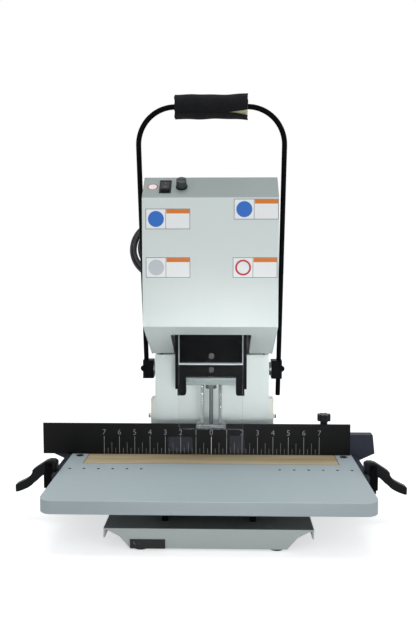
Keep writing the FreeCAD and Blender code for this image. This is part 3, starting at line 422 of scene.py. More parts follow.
label_ink = coated("label edge ink", (66, 72, 78), 0.55, 0.1, 1800, 0.02, 0.05)
label_orange = coated("label orange", (222, 122, 40), 0.55, 0.12, 1800, 0.02, 0.05)
label_blue = coated("label blue", (38, 108, 196), 0.5, 0.1, 1800, 0.02, 0.05)
label_red = coated("label red", (190, 44, 52), 0.5, 0.1, 1800, 0.02, 0.05)
label_grey = coated("label grey", (196, 202, 206), 0.5, 0.1, 1800, 0.02, 0.05)
scale_white = coated("scale paint", (138, 142, 146), 0.6, 0.4, 900, 0.0, 0.05)
fresh_scale = coated("zero mark paint", (214, 216, 218), 0.6, 0.2, 900, 0.0, 0.05)
figure_paint = coated("worn figure paint", (130, 134, 138), 0.6, 0.45, 900, 0.0, 0.05)
worn_scale = coated("worn scale paint", (100, 104, 108), 0.6, 0.45, 900, 0.0, 0.05)
wood = streaked("cutting wood", (226, 210, 172), (136, 108, 70), (6, 70, 70), 0.9, 0.62, 0.0, 0.25)
steel = streaked("ground steel", (128, 132, 134), (58, 62, 64), (300, 300, 12), 0.8, 0.32, 1.0)
aluminium = streaked("milled aluminium", (112, 120, 119), (70, 78, 78), (14, 400, 400), 0.6, 0.45,
                     1.0)
chrome = streaked("polished rod steel", (138, 144, 146), (72, 78, 80), (500, 500, 20), 0.6, 0.25,
                  1.0)
dark_steel = coated("blackened screw steel", (52, 56, 60), 0.3, 0.3, 500, 0.0, 0.1, 0.3)
spring_wire = streaked("spring wire", (232, 236, 238), (150, 156, 158), (300, 300, 60), 0.5, 0.25,
                       1.0)
bit_steel = streaked("dark bit steel", (104, 110, 112), (46, 50, 52), (500, 500, 20), 0.7, 0.3, 1.0)
bronze = streaked("bush bronze", (190, 150, 92), (130, 96, 50), (200, 30, 30), 0.6, 0.35, 1.0)
clear_acrylic = clear_sheet("clear acrylic", (128, 138, 142), 0.01)
foot_acrylic = clear_sheet("foot acrylic", (186, 196, 198), 0.32)
# The three edge finishes below are painted highlights: pale colour for the light that glints on cut
# acrylic edges.
window_edge_highlight = coated("painted window edge highlight", (206, 214, 216), 0.2, 0.15, 300, 0.05, 0.05)
guard_edge_highlight = clear_sheet("faint painted guard edge highlight", (206, 214, 216), 0.12)
foot_edge_highlight = clear_sheet("painted foot block edge highlight", (206, 214, 216), 0.35)
tape = clear_sheet("worn tape", (112, 112, 128), 0.09, 0.3)
print("materials", len(bpy.data.materials))

# %% [markdown]
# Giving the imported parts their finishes
#
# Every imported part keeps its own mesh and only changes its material, so the table below is the
# machine's whole bill of finishes.

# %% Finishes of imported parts
FINISHES = {
    head_paint: ["head_cover"],
    column_paint_lightened: ["column_shell", "throat_panel", "rear_cover"],
    bracket_paint: ["side_brackets"],
    tray_paint: ["base_tray"],
    laminate: ["table_board"],
    wood: ["cutting_strip"],
    fence_coat: ["fence_plate"],
    rail_coat: ["gauge_carrier", "gauge_arms"],
    black_coat: ["clamp_blocks", "stop_slide_block", "table_rails", "handle_hoop",
                 "hub_blocks", "front_plate", "bracket_frame", "carriage_cheeks", "cord_hook"],
    lever_black: ["clamp_lever_left", "clamp_lever_right"],
    moulded_black: ["stop_knob", "control_bodies", "switch_rocker"],
    cap_plastic: ["fuse_cap"],
    rubber: ["rubber_feet", "drive_belt", "strain_relief", "power_plug"],
    motor_coat: ["motor_body"],
    paper_label: ["blank_stickers"],
    steel: ["chassis_plates", "guide_frame", "cover_screws", "cross_shaft", "pinion", "drive_rack",
            "spindle_shaft", "motor_shaft"],
    spring_wire: ["foot_springs", "return_spring"],
    dark_steel: ["bracket_screws"],
    aluminium: ["spindle_plate", "quill_tube", "carriage_deck"],
    chrome: ["foot_rods", "spindle_bearings"],
    bit_steel: ["drill_bit", "drill_chuck"],
    bronze: ["shaft_bushes", "guide_bushes"],
    clear_acrylic: ["front_window", "guard_screen"],
    foot_acrylic: ["foot_block"],
}
for material, nodes in FINISHES.items():
    for node in nodes:
        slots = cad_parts[node].data.materials
        slots.clear()
        slots.append(material)
finished = sum(FINISHES.values(), [])
print("finished", len(finished), "of", len(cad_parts))

# %% [markdown]
# Mains lead
#
# The lead is one piece of round cable: it leaves the strain relief, sags below it, rises into a
# hand-wound coil that hangs on a hook, and ends in the plug. Turns wound by hand lie beside and on
# each other like the strands of a rope, looser at the bottom than on the hook. A curve with order
# 3 makes one smooth line out of all those points.

# %% Mains lead
LEAD_RADIUS = 3.5 * MM
COIL_CENTRE = sum(corners("cord_coil"), Vector()) / 2
COIL_RADIUS = 46 * MM
COIL_TURNS = 4.75
COIL_START = radians(235)
COIL_WOBBLE = 1.2 * MM
STRAND_CIRCLE = 6.9 * MM
STRAND_START, STRAND_STEP = radians(200), radians(72)
SLACK_AT_FOOT = 0.2
POINTS_PER_TURN = 16
LEAD_IN = [(-20, 198, 340), (-20, 244, 336), (-36, 266, 292), (-76, 246, 262), (-112, 218, 290),
           (-122, 198, 334)]
LEAD_TAIL = [(-79, 189, 346), (-77, 187, 320)]


def coil_point(step):
    """A point on the hand-wound coil; its turns lie round a small circle like a rope's strands."""
    turn = step / POINTS_PER_TURN
    angle = COIL_START - 2 * pi * turn
    strand = STRAND_START + STRAND_STEP * turn
    spread = STRAND_CIRCLE * (1 + SLACK_AT_FOOT * (1 - sin(angle)))
    radius = COIL_RADIUS + spread * cos(strand) + COIL_WOBBLE * sin(2 * angle + 0.7)
    return COIL_CENTRE + Vector((radius * cos(angle), spread * sin(strand),
                                 radius * sin(angle)))


def build_lead():
    """The whole lead on one smooth curve; returns its real length, measured along that curve."""
    winding = [coil_point(k) for k in range(int(POINTS_PER_TURN * COIL_TURNS) + 1)]
    route = [Vector(p) * MM for p in LEAD_IN] + winding + [Vector(p) * MM for p in LEAD_TAIL]
    curve = bpy.data.curves.new("mains_lead", "CURVE")
    curve.dimensions = "3D"
    spline = curve.splines.new("NURBS")
    spline.points.add(len(route) - 1)
    for point, place in zip(spline.points, route):
        point.co = (*place, 1)
    spline.order_u = 3
    spline.use_endpoint_u = True
    spline.resolution_u = 6
    curve.bevel_depth = LEAD_RADIUS
    curve.bevel_resolution = 4
    curve.use_fill_caps = True
    curve.materials.append(cord_sheath)
    lead = shown("mains_lead", curve)
    line = curve.copy()
    line.bevel_depth = 0
    spots = [v.co.copy() for v in frozen(shown("lead_line", line)).vertices]
    length = sum((b - a).length for a, b in zip(spots, spots[1:]))
    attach(lead, "frame")
    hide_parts("cord_lead", "cord_coil", "cord_tail")
    return length


print("mains lead, metres:", round(build_lead(), 3))

# %% [markdown]
# Padded grip
#
# The grip is a foam tube inside a fabric sleeve. The sleeve was wrapped and seamed by hand: it is
# a little lumpy, wider at its ends, and its seam gapes at the lower right, where the foam shows.
# It is made as a grid wrapped round the bar, so that the weave can follow its UV map.

# %% Padded grip
def fabric_material():
    material, tree, shader, cloth = dressed(
        "grip fabric", WEAVE, {"Colour": linear(12, 12, 14), "Threads": 620.0})
    fill(shader, {"Roughness": 0.88, "Specular IOR Level": 0.15, "Sheen Weight": 0.03})
    add_bump(tree, shader, cloth.outputs["Height"], 0.5, 0.6 * MM)
    return material


grip_fabric = fabric_material()
foam_inside = coated("cream foam", (206, 200, 160), 0.85, 0.4, 500, 0.2, 0.6)
sleeve_low, sleeve_high = corners("grip_sleeve")
GRIP_MIDDLE = (sleeve_low + sleeve_high) / 2
GRIP_HALF = (sleeve_high.x - sleeve_low.x) / 2
GRIP_RADIUS = (sleeve_high.z - sleeve_low.z) / 2
SEAM_ANGLE = radians(218)
SEAM_LAP = 0.5 * MM
SLEEVE_SLACK = 1.75 * MM
SLEEVE_INSET = 0.6 * MM


def grip_radius(along, turn):
    """Radius of the sleeve: a flared right end and soft lumps."""
    flare = 1.3 * MM * max(0.0, along) ** 5 + 0.5 * MM * max(0.0, -along) ** 6
    lumps = 0.4 * MM * sin(5.1 * along + 2 * turn) + 0.3 * MM * sin(9 * along - 3 * turn)
    return GRIP_RADIUS - SLEEVE_SLACK + flare + lumps


def on_grip(along, radius, turn):
    """A point round the grip's bar."""
    return GRIP_MIDDLE + Vector((along, radius * cos(turn), radius * sin(turn)))


def build_sleeve():
    """Fabric shell whose seam lies shut on the left and gapes towards the lower right corner."""
    columns, rows = 81, 84
    points, faces, uvs = [], [], []
    for i in range(columns):
        along = -1 + 2 * i / (columns - 1)
        gape = 0.012 + 0.95 * max(0.0, along - 0.42) ** 1.25
        for j in range(rows):
            turn = SEAM_ANGLE + gape / 2 + (2 * pi - gape) * j / (rows - 1)
            nearness = exp(-(min(j, rows - 1 - j) / 2.5) ** 2)
            lap = (SEAM_LAP if j < rows / 2 else -SEAM_LAP) * nearness
            radius = grip_radius(along, turn) + lap
            ragged = 0.5 * MM * sin(7 * turn) * abs(along) ** 8
            points.append(on_grip(along * (GRIP_HALF - SLEEVE_INSET) + ragged, radius, turn))
            uvs.append((along, turn / 2.6))
    for i in range(columns - 1):
        for j in range(rows - 1):
            a = i * rows + j
            faces.append((a, a + 1, a + rows + 1, a + rows))
    sleeve = new_piece("grip_cover", points, faces, grip_fabric, "handle")
    layer = sleeve.data.uv_layers.new(name="wrap")
    for loop in sleeve.data.loops:
        layer.data[loop.index].uv = uvs[loop.vertex_index]
    wall = sleeve.modifiers.new("wall", "SOLIDIFY")
    wall.thickness = 1.4 * MM
    wall.offset = -1
    wall.use_rim = True
    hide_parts("grip_sleeve")
    return sleeve


def build_foam():
    """Foam tube with rounded, slightly crushed ends: (place along it, share of its radius)."""
    profile = [(-0.985, 0.34), (-0.985, 0.66), (-0.97, 0.72), (-0.93, 0.75),
               (0.93, 0.75), (0.975, 0.72), (0.99, 0.66), (0.99, 0.34)]
    points, rows = [], 40
    for along, share in profile:
        for turn in angles(rows):
            radius = GRIP_RADIUS * share + 0.3 * MM * sin(3 * turn)
            points.append(on_grip(along * GRIP_HALF, radius, turn))
    faces = skin(len(profile), rows, closed=True)
    foam = new_piece("grip_core", points, faces, foam_inside, "handle")
    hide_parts("grip_foam")
    return foam


print("grip", build_sleeve().name, build_foam().name)

# %% [markdown]
# Springs
#
# The foot's two springs shorten when paper lifts the foot; they are wound again here as fine
# coils that hang from the spindle plate and ride on the carriage at one length. The return
# spring inside the head is wound again in its place and stays there.


def coil_mesh(middles, low, high, radius, wire, turns, steps=16, sides=8):
    """Points and faces of upright coils round the given middles."""
    points, faces = [], []
    count = turns * steps
    for middle in middles:
        first = len(points)
        for k in range(count + 1):
            turn = 2 * pi * k / steps
            outward = Vector((cos(turn), sin(turn), 0))
            centre = Vector((*middle, low + (high - low) * k / count)) + outward * radius
            for around in angles(sides):
                rise = Vector((0, 0, wire * sin(around)))
                points.append(centre + outward * wire * cos(around) + rise)
        faces += skin(count + 1, sides, first) + ends(first, len(points), sides)
    return points, faces


def wind_foot_springs(radius, wire, turns):
    """Both coils round the foot's rods; they hang from the carriage."""
    low, high = corners("foot_springs")
    reach, middle_y = (high.y - low.y) / 2, (low.y + high.y) / 2
    middles = [(low.x + reach, middle_y), (high.x - reach, middle_y)]
    points, faces = coil_mesh(middles, low.z + wire, high.z - wire, radius, wire, turns)
    coils = new_piece("foot_coils", points, faces, spring_wire, "carriage")
    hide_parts("foot_springs")
    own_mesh(coils)
    return coils


def wind_return_spring(wire, turns):
    """The coil that holds the carriage up, stretched between the carriage and the frame."""
    low, high = corners("return_spring")
    middle = ((low.x + high.x) / 2, (low.y + high.y) / 2)
    points, faces = coil_mesh([middle], low.z + wire, high.z - wire,
                              (high.x - low.x) / 2 - wire, wire, turns)
    spring = new_piece("return_coil", points, faces, spring_wire, None)
    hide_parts("return_spring")
    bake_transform(spring)
    return spring


print("springs", wind_foot_springs(radius=2.95 * MM, wire=0.6 * MM, turns=22).name,
      wind_return_spring(wire=1.0 * MM, turns=12).name)

# %% [markdown]
# Clamp levers
#
# Each lever is one flat moulding: a rounded hood over its pin, a shoulder, then a curved tail
# with a squared end. Its outline is given once, in millimetres outwards and upwards from the
# pin, as an upper and a lower edge, and both levers take it, one of them mirrored.

# %% Clamp levers
LEVER_TOP = [(-12.4, 2), (-12, 6.4), (-8, 8.8), (-1, 9), (5, 7.2), (15, 0.8), (24, -5.2),
             (25.4, -6.6), (25.8, -10), (28, -14.5), (33, -19.5), (40, -23.6), (47, -27),
             (52, -29.6)]
LEVER_UNDER = [(-12, -9.5), (-6, -11.6), (0, -12.4), (5, -13), (10, -14.8), (14, -18.4),
               (18, -22.4), (23, -26.4), (27, -30.4), (33, -34.4), (40, -37.6), (46, -39.8),
               (49, -40.6), (51.8, -40.6)]
LEVER_WIDTH = 15.0
PIN_SIDE, PIN_HIGH = 247.0, 88.0


def build_lever(side, sign):
    """The two edges joined into a band, extruded along Y and softened at its rims."""
    low, high = corners("clamp_lever_" + side)
    middle_y = (low.y + high.y) / 2
    pin = Vector((sign * PIN_SIDE * MM, middle_y, PIN_HIGH * MM))
    count = len(LEVER_TOP)
    points, faces = [], []
    for y in (-LEVER_WIDTH / 2, LEVER_WIDTH / 2):
        for edge in (LEVER_TOP, LEVER_UNDER):
            points += [pin + Vector((sign * x, y, z)) * MM for x, z in edge]
    rear = 2 * count
    for k in range(count - 1):
        a, b, c, d = k, k + 1, count + k + 1, count + k
        faces += [(a, b, c, d), (rear + d, rear + c, rear + b, rear + a)]
        faces += [(b, a, rear + a, rear + b), (d, c, rear + c, rear + d)]
    faces.append((0, count, rear + count, rear))
    faces.append((count - 1, rear + count - 1, rear + 2 * count - 1, 2 * count - 1))
    if sign < 0:
        faces = [face[::-1] for face in faces]
    lever = new_piece("lever_grip_" + side, points, faces, lever_black, "lever_" + side)
    soften(lever, 1.6 * MM)
    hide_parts("clamp_lever_" + side)
    return lever


def soften(piece, width):
    """Rounds the sharp rims of a moulding."""
    rims = piece.modifiers.new("rims", "BEVEL")
    rims.width = width
    rims.segments = 3
    rims.limit_method = "ANGLE"
    rims.angle_limit = radians(50)


for side, sign in (("left", -1), ("right", 1)):
    print("lever", build_lever(side, sign).name)

# %% [markdown]
# Inch scale
#
# The back gauge carries a painted inch scale, seven inches each way from the drill. A row of
# equal marks is the simplest case for Geometry Nodes: a line of points, one thin bar on each, and
# the same tree serves for inches, halves and quarters by changing its named inputs.

# %% Geometry Nodes tree for a row of marks
def finish_tree(group, geometry, outward, material):
    """Realize the instances and give them their material."""
    real = group.nodes.new("GeometryNodeRealizeInstances")
    paint = group.nodes.new("GeometryNodeSetMaterial")
    paint.inputs["Material"].default_value = material
    group.links.new(geometry, real.inputs[0])
    group.links.new(real.outputs[0], paint.inputs["Geometry"])
    group.links.new(paint.outputs[0], outward.inputs[0])


def mark_tree(material):
    """A line of points with one bar on each."""
    group, inward, outward = start_group(
        "row of marks", "GeometryNodeTree",
        {"Geometry": SHAPE, "Count": "NodeSocketInt", "Start": VECTOR, "Step": VECTOR,
         "Size": VECTOR}, {"Geometry": SHAPE})
    group.is_modifier = True
    row = group.nodes.new("GeometryNodeMeshLine")
    row.mode = "OFFSET"
    bar = group.nodes.new("GeometryNodeMeshCube")
    copies = group.nodes.new("GeometryNodeInstanceOnPoints")
    for socket, target in (("Count", row.inputs["Count"]), ("Start", row.inputs["Start Location"]),
                           ("Step", row.inputs["Offset"]), ("Size", bar.inputs["Size"])):
        group.links.new(inward.outputs[socket], target)
    group.links.new(row.outputs[0], copies.inputs["Points"])
    group.links.new(bar.outputs[0], copies.inputs["Instance"])
    finish_tree(group, copies.outputs[0], outward, material)
    return group


def bake_nodes(name, tree, values, body, base=None):
    """Run a tree on an object and keep the result as a plain mesh that rides on a body."""
    carrier = shown(name + "_carrier", base or bpy.data.meshes.new(name + "_base"))
    modifier = carrier.modifiers.new("nodes", "NODES")
    modifier.node_group = tree
    for item in tree.interface.items_tree:
        if item.in_out == "INPUT" and item.name in values:
            modifier[item.identifier] = values[item.name]
    piece = shown(name, frozen(carrier))
    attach(piece, body)
    return piece


# %% Marks and numbers of the scale
INCH = 25.4 * MM
SCALE_REACH = 7
SCALE_FOOT = fence_low.z + 0.6 * MM
SCALE_FACE = fence_low.y - 0.08 * MM
MARK_WIDE, MARK_DEEP = 0.75 * MM, 0.16 * MM
INCH_TALL, HALF_TALL, QUARTER_TALL = 29.5, 19.0, 9.5
FIGURE_SIZE, FIGURE_HIGH, FIGURE_THINNED = 13 * MM, 36.5 * MM, -0.14 * MM
inch_tree, part_tree = mark_tree(scale_white), mark_tree(worn_scale)
zero_tree = mark_tree(fresh_scale)
for name, tree, count, first, step, tall in (
        ("left_inch_marks", inch_tree, SCALE_REACH, -SCALE_REACH, 1.0, INCH_TALL),
        ("right_inch_marks", inch_tree, SCALE_REACH, 1.0, 1.0, INCH_TALL),
        ("zero_mark", zero_tree, 1, 0.0, 1.0, INCH_TALL),
        ("half_marks", part_tree, 2 * SCALE_REACH, 0.5 - SCALE_REACH, 1.0, HALF_TALL),
        ("quarter_marks", part_tree, 4 * SCALE_REACH, 0.25 - SCALE_REACH, 0.5, QUARTER_TALL)):
    start = (first * INCH, SCALE_FACE, SCALE_FOOT + tall * MM / 2)
    marks = bake_nodes(name, tree, {"Count": count, "Start": start, "Step": (step * INCH, 0, 0),
                                    "Size": (MARK_WIDE, MARK_DEEP, tall * MM)}, "gauge")
    print(name, len(marks.data.vertices))


def flat_text(name, words, size, place, turn, material, body, thin=0.0):
    """Generic figures as a thin solid mesh, upright on a face."""
    curve = bpy.data.curves.new(name, "FONT")
    curve.body = words
    curve.size = size
    curve.extrude = 0.06 * MM
    curve.offset = thin
    curve.align_x, curve.align_y = "CENTER", "CENTER"
    curve.resolution_u = 3
    mesh = frozen(shown(name + "_text", curve))
    mesh.transform(Matrix.Translation(place) @ turn)
    mesh.materials.clear()
    mesh.materials.append(material)
    piece = shown(name, mesh)
    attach(piece, body)
    return piece


upright = Matrix.Rotation(radians(90), 4, "X")
for inch in range(-SCALE_REACH, SCALE_REACH + 1):
    spot = Vector((inch * INCH, SCALE_FACE, fence_low.z + FIGURE_HIGH))
    figure = flat_text("figure_%d" % (inch + SCALE_REACH), str(abs(inch)), FIGURE_SIZE, spot,
                       upright, figure_paint, "gauge", FIGURE_THINNED)
print("scale figures", 2 * SCALE_REACH + 1)

# %% [markdown]
# Blank labels and controls
#
# Four paper labels sit on the head. Their places are finished as plain labels: a printed border,
# a coloured band and a plain disc, with nothing written on them. The round badge on the control
# strip only gets a red ring, and the rocker switch its generic on and off marks.

# %% Labels
def ring_mesh(centre, outer, inner, thick, sides=48):
    """A flat ring that faces -Y; inner 0 makes a disc."""
    hole = max(inner, 1e-5)
    points = []
    for radius, depth in ((outer, 0), (outer, -thick), (hole, -thick), (hole, 0)):
        for turn in angles(sides):
            spoke = Vector((radius * cos(turn), depth, radius * sin(turn)))
            points.append(centre + spoke)
    return points, skin(4, sides, closed=True)


LABEL_SIZE = Vector((67, 0, 30.5)) * MM
LABEL_FACE = head_low.y - 0.4 * MM
LABELS = (("upper_left", -97.5, 449, label_blue), ("upper_right", 35.5, 463.5, label_blue),
          ("lower_left", -97.5, 376, label_grey), ("lower_right", 34, 376, label_red))


PRINT_FACE = LABEL_FACE - 0.06 * MM
BORDER = 0.7 * MM
DIVIDER_LEFT, DIVIDER_RIGHT = 30 * MM, 30.6 * MM
BAND_LEFT, BAND_LOW, BAND_MARGIN = 31.2 * MM, 23.4 * MM, 0.9 * MM
DISC_ACROSS, DISC_UP, DISC_RADIUS, DISC_HOLE = 15.5 * MM, 15.2 * MM, 12 * MM, 9.2 * MM


def printed(name, tint, *rectangles, face=PRINT_FACE):
    """Thin rectangles of ink on a label, each given by its left, foot, right and head."""
    boxes = [((x0, face, z0), (x1, LABEL_FACE, z1)) for x0, z0, x1, z1 in rectangles]
    return new_piece(name, *boxes_mesh(*boxes), tint, "frame", smooth=False)


for name, x, z, tint in LABELS:
    x, z = x * MM, z * MM
    right, head = x + LABEL_SIZE.x, z + LABEL_SIZE.z
    border = printed("label_border_" + name, label_ink, (x, z, right, z + BORDER),
                     (x, head - BORDER, right, head), (x, z, x + BORDER, head),
                     (right - BORDER, z, right, head))
    divider = printed("label_divider_" + name, label_ink,
                      (x + DIVIDER_LEFT, z, x + DIVIDER_RIGHT, head))
    band = printed("label_band_" + name, label_orange,
                   (x + BAND_LEFT, z + BAND_LOW, right - BAND_MARGIN, head - BAND_MARGIN),
                   face=LABEL_FACE - 0.05 * MM)
    centre = Vector((x + DISC_ACROSS, LABEL_FACE, z + DISC_UP))
    ring = ring_mesh(centre, DISC_RADIUS, DISC_HOLE if tint is label_red else 0, 0.05 * MM)
    disc = new_piece("label_disc_" + name, *ring, tint, "frame", smooth=False)
print("labels", len(LABELS))

# %% Switch marks and badge on the sloped strip
STRIP_RISE, STRIP_DEEP = 33, 40
STRIP_TILT = atan2(STRIP_RISE, STRIP_DEEP)
STRIP_MIDDLE = Vector((0, -41.4, 513.5)) * MM
ROCKER_X, ROCKER_TILT, ROCKER_RISE = -69 * MM, radians(10), 3.62 * MM
BADGE_X, BADGE_OUTER, BADGE_INNER = -88.5 * MM, 7.9 * MM, 6.5 * MM


def on_strip(x, up, out):
    """A point on the control strip: across, up its slope, and out of it."""
    slope = Vector((0, cos(STRIP_TILT), sin(STRIP_TILT)))
    normal = Vector((0, -sin(STRIP_TILT), cos(STRIP_TILT)))
    return STRIP_MIDDLE + Vector((x, 0, 0)) + slope * up + normal * out


rocker_angle = STRIP_TILT - ROCKER_TILT
rocker_turn = Matrix.Rotation(rocker_angle, 4, "X")
rocker_normal = Vector((0, -sin(rocker_angle), cos(rocker_angle)))
rocker_slope = Vector((0, rocker_normal.z, -rocker_normal.y))
for name, words, up in (("mark_on", "I", 6.5), ("mark_off", "O", -6.5)):
    spot = on_strip(ROCKER_X, 0, 0) + rocker_slope * up * MM + rocker_normal * ROCKER_RISE
    mark = flat_text(name, words, 6.5 * MM, spot, rocker_turn, scale_white, "rocker")
badge_points, badge_faces = ring_mesh(Vector((0, 0, 0)), BADGE_OUTER, BADGE_INNER, 0.1 * MM)
badge_points = [Matrix.Rotation(radians(-90), 3, "X") @ p for p in badge_points]
badge_points = [on_strip(BADGE_X + p.x, p.y, 0.42 * MM + abs(p.z)) for p in badge_points]
badge = new_piece("badge_ring", badge_points, badge_faces, label_red, "frame", smooth=False)
print("strip marks and badge done")

# %% [markdown]
# Screws
#
# Cross-recess screw heads are all alike, so one head is modelled and a Geometry Nodes tree places
# a copy on every point of a small mesh. An attribute, "facing", says which way each screw looks.

# %% Screw heads
def screw_head_mesh(radius):
    """A domed head along +Z with a cross-shaped recess pressed into it."""
    points, sides = [], 32
    rings = [(1.0, 0.0), (1.0, 0.18), (0.92, 0.36), (0.74, 0.5), (0.5, 0.57), (0.28, 0.6),
             (0.1, 0.6)]
    for share, rise in rings:
        for turn in angles(sides):
            arm = min(abs(sin(turn)), abs(cos(turn)))
            press = 0.34 if arm < 0.2 and share < 0.6 else 0.0
            points.append((share * radius * cos(turn), share * radius * sin(turn),
                           (rise - press) * radius))
    faces = skin(len(rings), sides) + ends(0, len(points), sides)
    mesh = bpy.data.meshes.new("screw_head")
    mesh.from_pydata(points, [], faces)
    mesh.polygons.foreach_set("use_smooth", [True] * len(faces))
    return mesh


def screw_tree(material, radius):
    """A screw head on every point, turned to the point's own direction."""
    group, inward, outward = start_group("screws on points", "GeometryNodeTree",
                                         {"Geometry": SHAPE}, {"Geometry": SHAPE})
    group.is_modifier = True
    holder = bpy.data.objects.new("screw_head", screw_head_mesh(radius))
    head = group.nodes.new("GeometryNodeObjectInfo")
    head.inputs["Object"].default_value = holder
    facing = group.nodes.new("GeometryNodeInputNamedAttribute")
    facing.data_type = "FLOAT_VECTOR"
    facing.inputs["Name"].default_value = "facing"
    align = group.nodes.new("FunctionNodeAlignRotationToVector")
    align.axis = "Z"
    group.links.new(facing.outputs[0], align.inputs["Vector"])
    copies = group.nodes.new("GeometryNodeInstanceOnPoints")
    group.links.new(inward.outputs[0], copies.inputs["Points"])
    group.links.new(head.outputs["Geometry"], copies.inputs["Instance"])
    group.links.new(align.outputs[0], copies.inputs["Rotation"])
    finish_tree(group, copies.outputs[0], outward, material)
    return group


def place_screws(name, radius, spots, material, body):
    """Screw heads at (point, direction) pairs."""
    base = bpy.data.meshes.new(name + "_points")
    base.from_pydata([tuple(p) for p, d in spots], [], [])
    facing = base.attributes.new("facing", "FLOAT_VECTOR", "POINT")
    for item, (point, direction) in zip(facing.data, spots):
        item.vector = direction
    screws = bake_nodes(name, screw_tree(material, radius), {}, body, base)
    return screws


SCREW_RADIUS = 3.8 * MM
SIDE_FACE, REAR_FACE, BRACKET_FACE = 104.9, 171.9, 109.4
side_spots = [(Vector((sign * SIDE_FACE * MM, y * MM, z * MM)), (sign, 0, 0))
              for sign in (-1, 1) for y, z in ((130, 320), (130, 480), (0, 400))]
rear_spots = [(Vector((x, REAR_FACE, z)) * MM, (0, 1, 0)) for x in (-92, 92) for z in (45, 520)]
bracket_spots = [(Vector((sign * BRACKET_FACE, 92, 129)) * MM, (sign, 0, 0)) for sign in (-1, 1)]
for name, spots, material in (("side_screw_heads", side_spots, steel),
                              ("rear_screw_heads", rear_spots, steel),
                              ("bracket_screw_heads", bracket_spots, dark_steel)):
    placed = place_screws(name, SCREW_RADIUS, spots, material, "frame")
    print(name, len(spots), "screws,", len(placed.data.vertices), "vertices")

# %% [markdown]
# Bright edges and tape
#
# Acrylic sheet is dull on its faces and bright on its cut edges, where light that runs inside the
# sheet comes out. Thin pale bars along the edges of the window, the guard and the foot block are
# painted highlights for that light. Two scraps of worn tape are still stuck to the back gauge.

# %% Acrylic edges and tape
EDGE_PROUD, EDGE_DEEP = 0.05 * MM, 1.55 * MM


def edge_frame(name, node, body, material, side, foot, head):
    """Painted highlight bars along the edges of an upright acrylic sheet: two sides, the foot and
    the head.
    """
    low, high = corners(node)
    front, back = low.y - EDGE_PROUD, low.y + EDGE_DEEP
    bars = ((low.x, low.z, high.x, low.z + foot), (low.x, high.z - head, high.x, high.z),
            (low.x, low.z, low.x + side, high.z), (high.x - side, low.z, high.x, high.z))
    boxes = [((x0, front, z0), (x1, back, z1)) for x0, z0, x1, z1 in bars]
    piece = new_piece(name, *boxes_mesh(*boxes), material, body, smooth=False)
    return piece


for name, node, body, material, side, foot, head in (
        ("window_edges", "front_window", "carriage", window_edge_highlight, 0.8, 1.9, 0.4),
        ("guard_edges", "guard_screen", "foot", guard_edge_highlight, 0.6, 0.8, 1.0),
        ("foot_edges", "foot_block", "foot", foot_edge_highlight, 1.0, 1.2, 0.9)):
    edge_frame(name, node, body, material, side * MM, foot * MM, head * MM)
print("edge frames", 3)
for name, left, right, low, high in (("tape_left", -72, -31, 86, 110),
                                     ("tape_right", 30, 55, 84, 112)):
    rows, points, faces = 8, [], []
    for k in range(rows + 1):
        z = (low + (high - low) * k / rows) * MM
        ragged = 1.6 * sin(2.3 * k + left)
        for x in (left + ragged, right - 0.7 * ragged):
            points += [(x * MM, SCALE_FACE - out * MM, z) for out in (0.12, 0.04)]
    for k in range(rows):
        a, b = 4 * k, 4 * k + 4
        for p, q in ((0, 2), (2, 3), (3, 1), (1, 0)):
            faces.append((a + p, a + q, b + q, b + p))
    faces += [(0, 1, 3, 2), (4 * rows, 4 * rows + 2, 4 * rows + 3, 4 * rows + 1)]
    scrap = new_piece(name, points, faces, tape, "gauge", smooth=False)
print("tape scraps", 2)

# %% [markdown]
# Peg holes and the joint round the cutting strip
#
# The twelve drilled peg holes are lined nearly black inside, painted shade for their hollows,
# and a dark joint shows between the laminate and the wooden strip.

# %% Peg holes and strip joint
HOLE_FIRST, HOLE_PITCH, HOLES_A_SIDE = 107, 22.2, 6
HOLE_STEPS = [sign * (HOLE_FIRST + HOLE_PITCH * k) * MM
              for sign in (-1, 1) for k in range(HOLES_A_SIDE)]
HOLE_Y, HOLE_RADIUS, HOLE_FOOT = -63 * MM, 2.34 * MM, 72.1 * MM
STRIP_LINE_WIDE, STRIP_LINE_DEEP = 0.8 * MM, 0.4 * MM
# One dark finish serves as painted shade inside the peg holes and as the real dark joint round the
# strip.
hole_shade_and_joint_dark = coated("painted hole shade and dark joint", (24, 24, 24), 0.8, 0.3, 900, 0.0, 0.1, 0.05)


def line_holes(sides=20):
    """A dark wall and floor in each hole, a hair inside the drilled face: painted shade."""
    points, faces = [], []
    for x in HOLE_STEPS:
        first = len(points)
        for z in (HOLE_FOOT, table_high.z - 0.05 * MM):
            points += [(x + HOLE_RADIUS * cos(turn), HOLE_Y + HOLE_RADIUS * sin(turn), z)
                       for turn in angles(sides)]
        faces += skin(2, sides, first) + [tuple(range(first, first + sides))]
    return new_piece("hole_linings", points, faces, hole_shade_and_joint_dark, "frame")


def frame_strip():
    """Three thin dark lines in the joint round the strip, level with the laminate."""
    low, high = corners("cutting_strip")
    width, top = STRIP_LINE_WIDE, high.z + 0.04 * MM
    lines = ((low.x - width, low.y - width, high.x + width, low.y),
             (low.x - width, low.y, low.x, high.y), (high.x, low.y, high.x + width, high.y))
    boxes = [((x0, y0, top - STRIP_LINE_DEEP), (x1, y1, top)) for x0, y0, x1, y1 in lines]
    return new_piece("strip_joint", *boxes_mesh(*boxes), hole_shade_and_joint_dark, "frame", smooth=False)


print("linings", len(line_holes().data.polygons), "joint", len(frame_strip().data.polygons))

# %% [markdown]
# Room and light
#
# A white bench carries a soft shadow, and a veil of its own light hides the horizon. Camera rays
# that miss the bench see plain white, while the light that falls on the machine comes from a
# grey-white room and five weak lamps: broad ones from the front left, from the right, low from
# the front and from above, and a narrow one into the throat under the head.

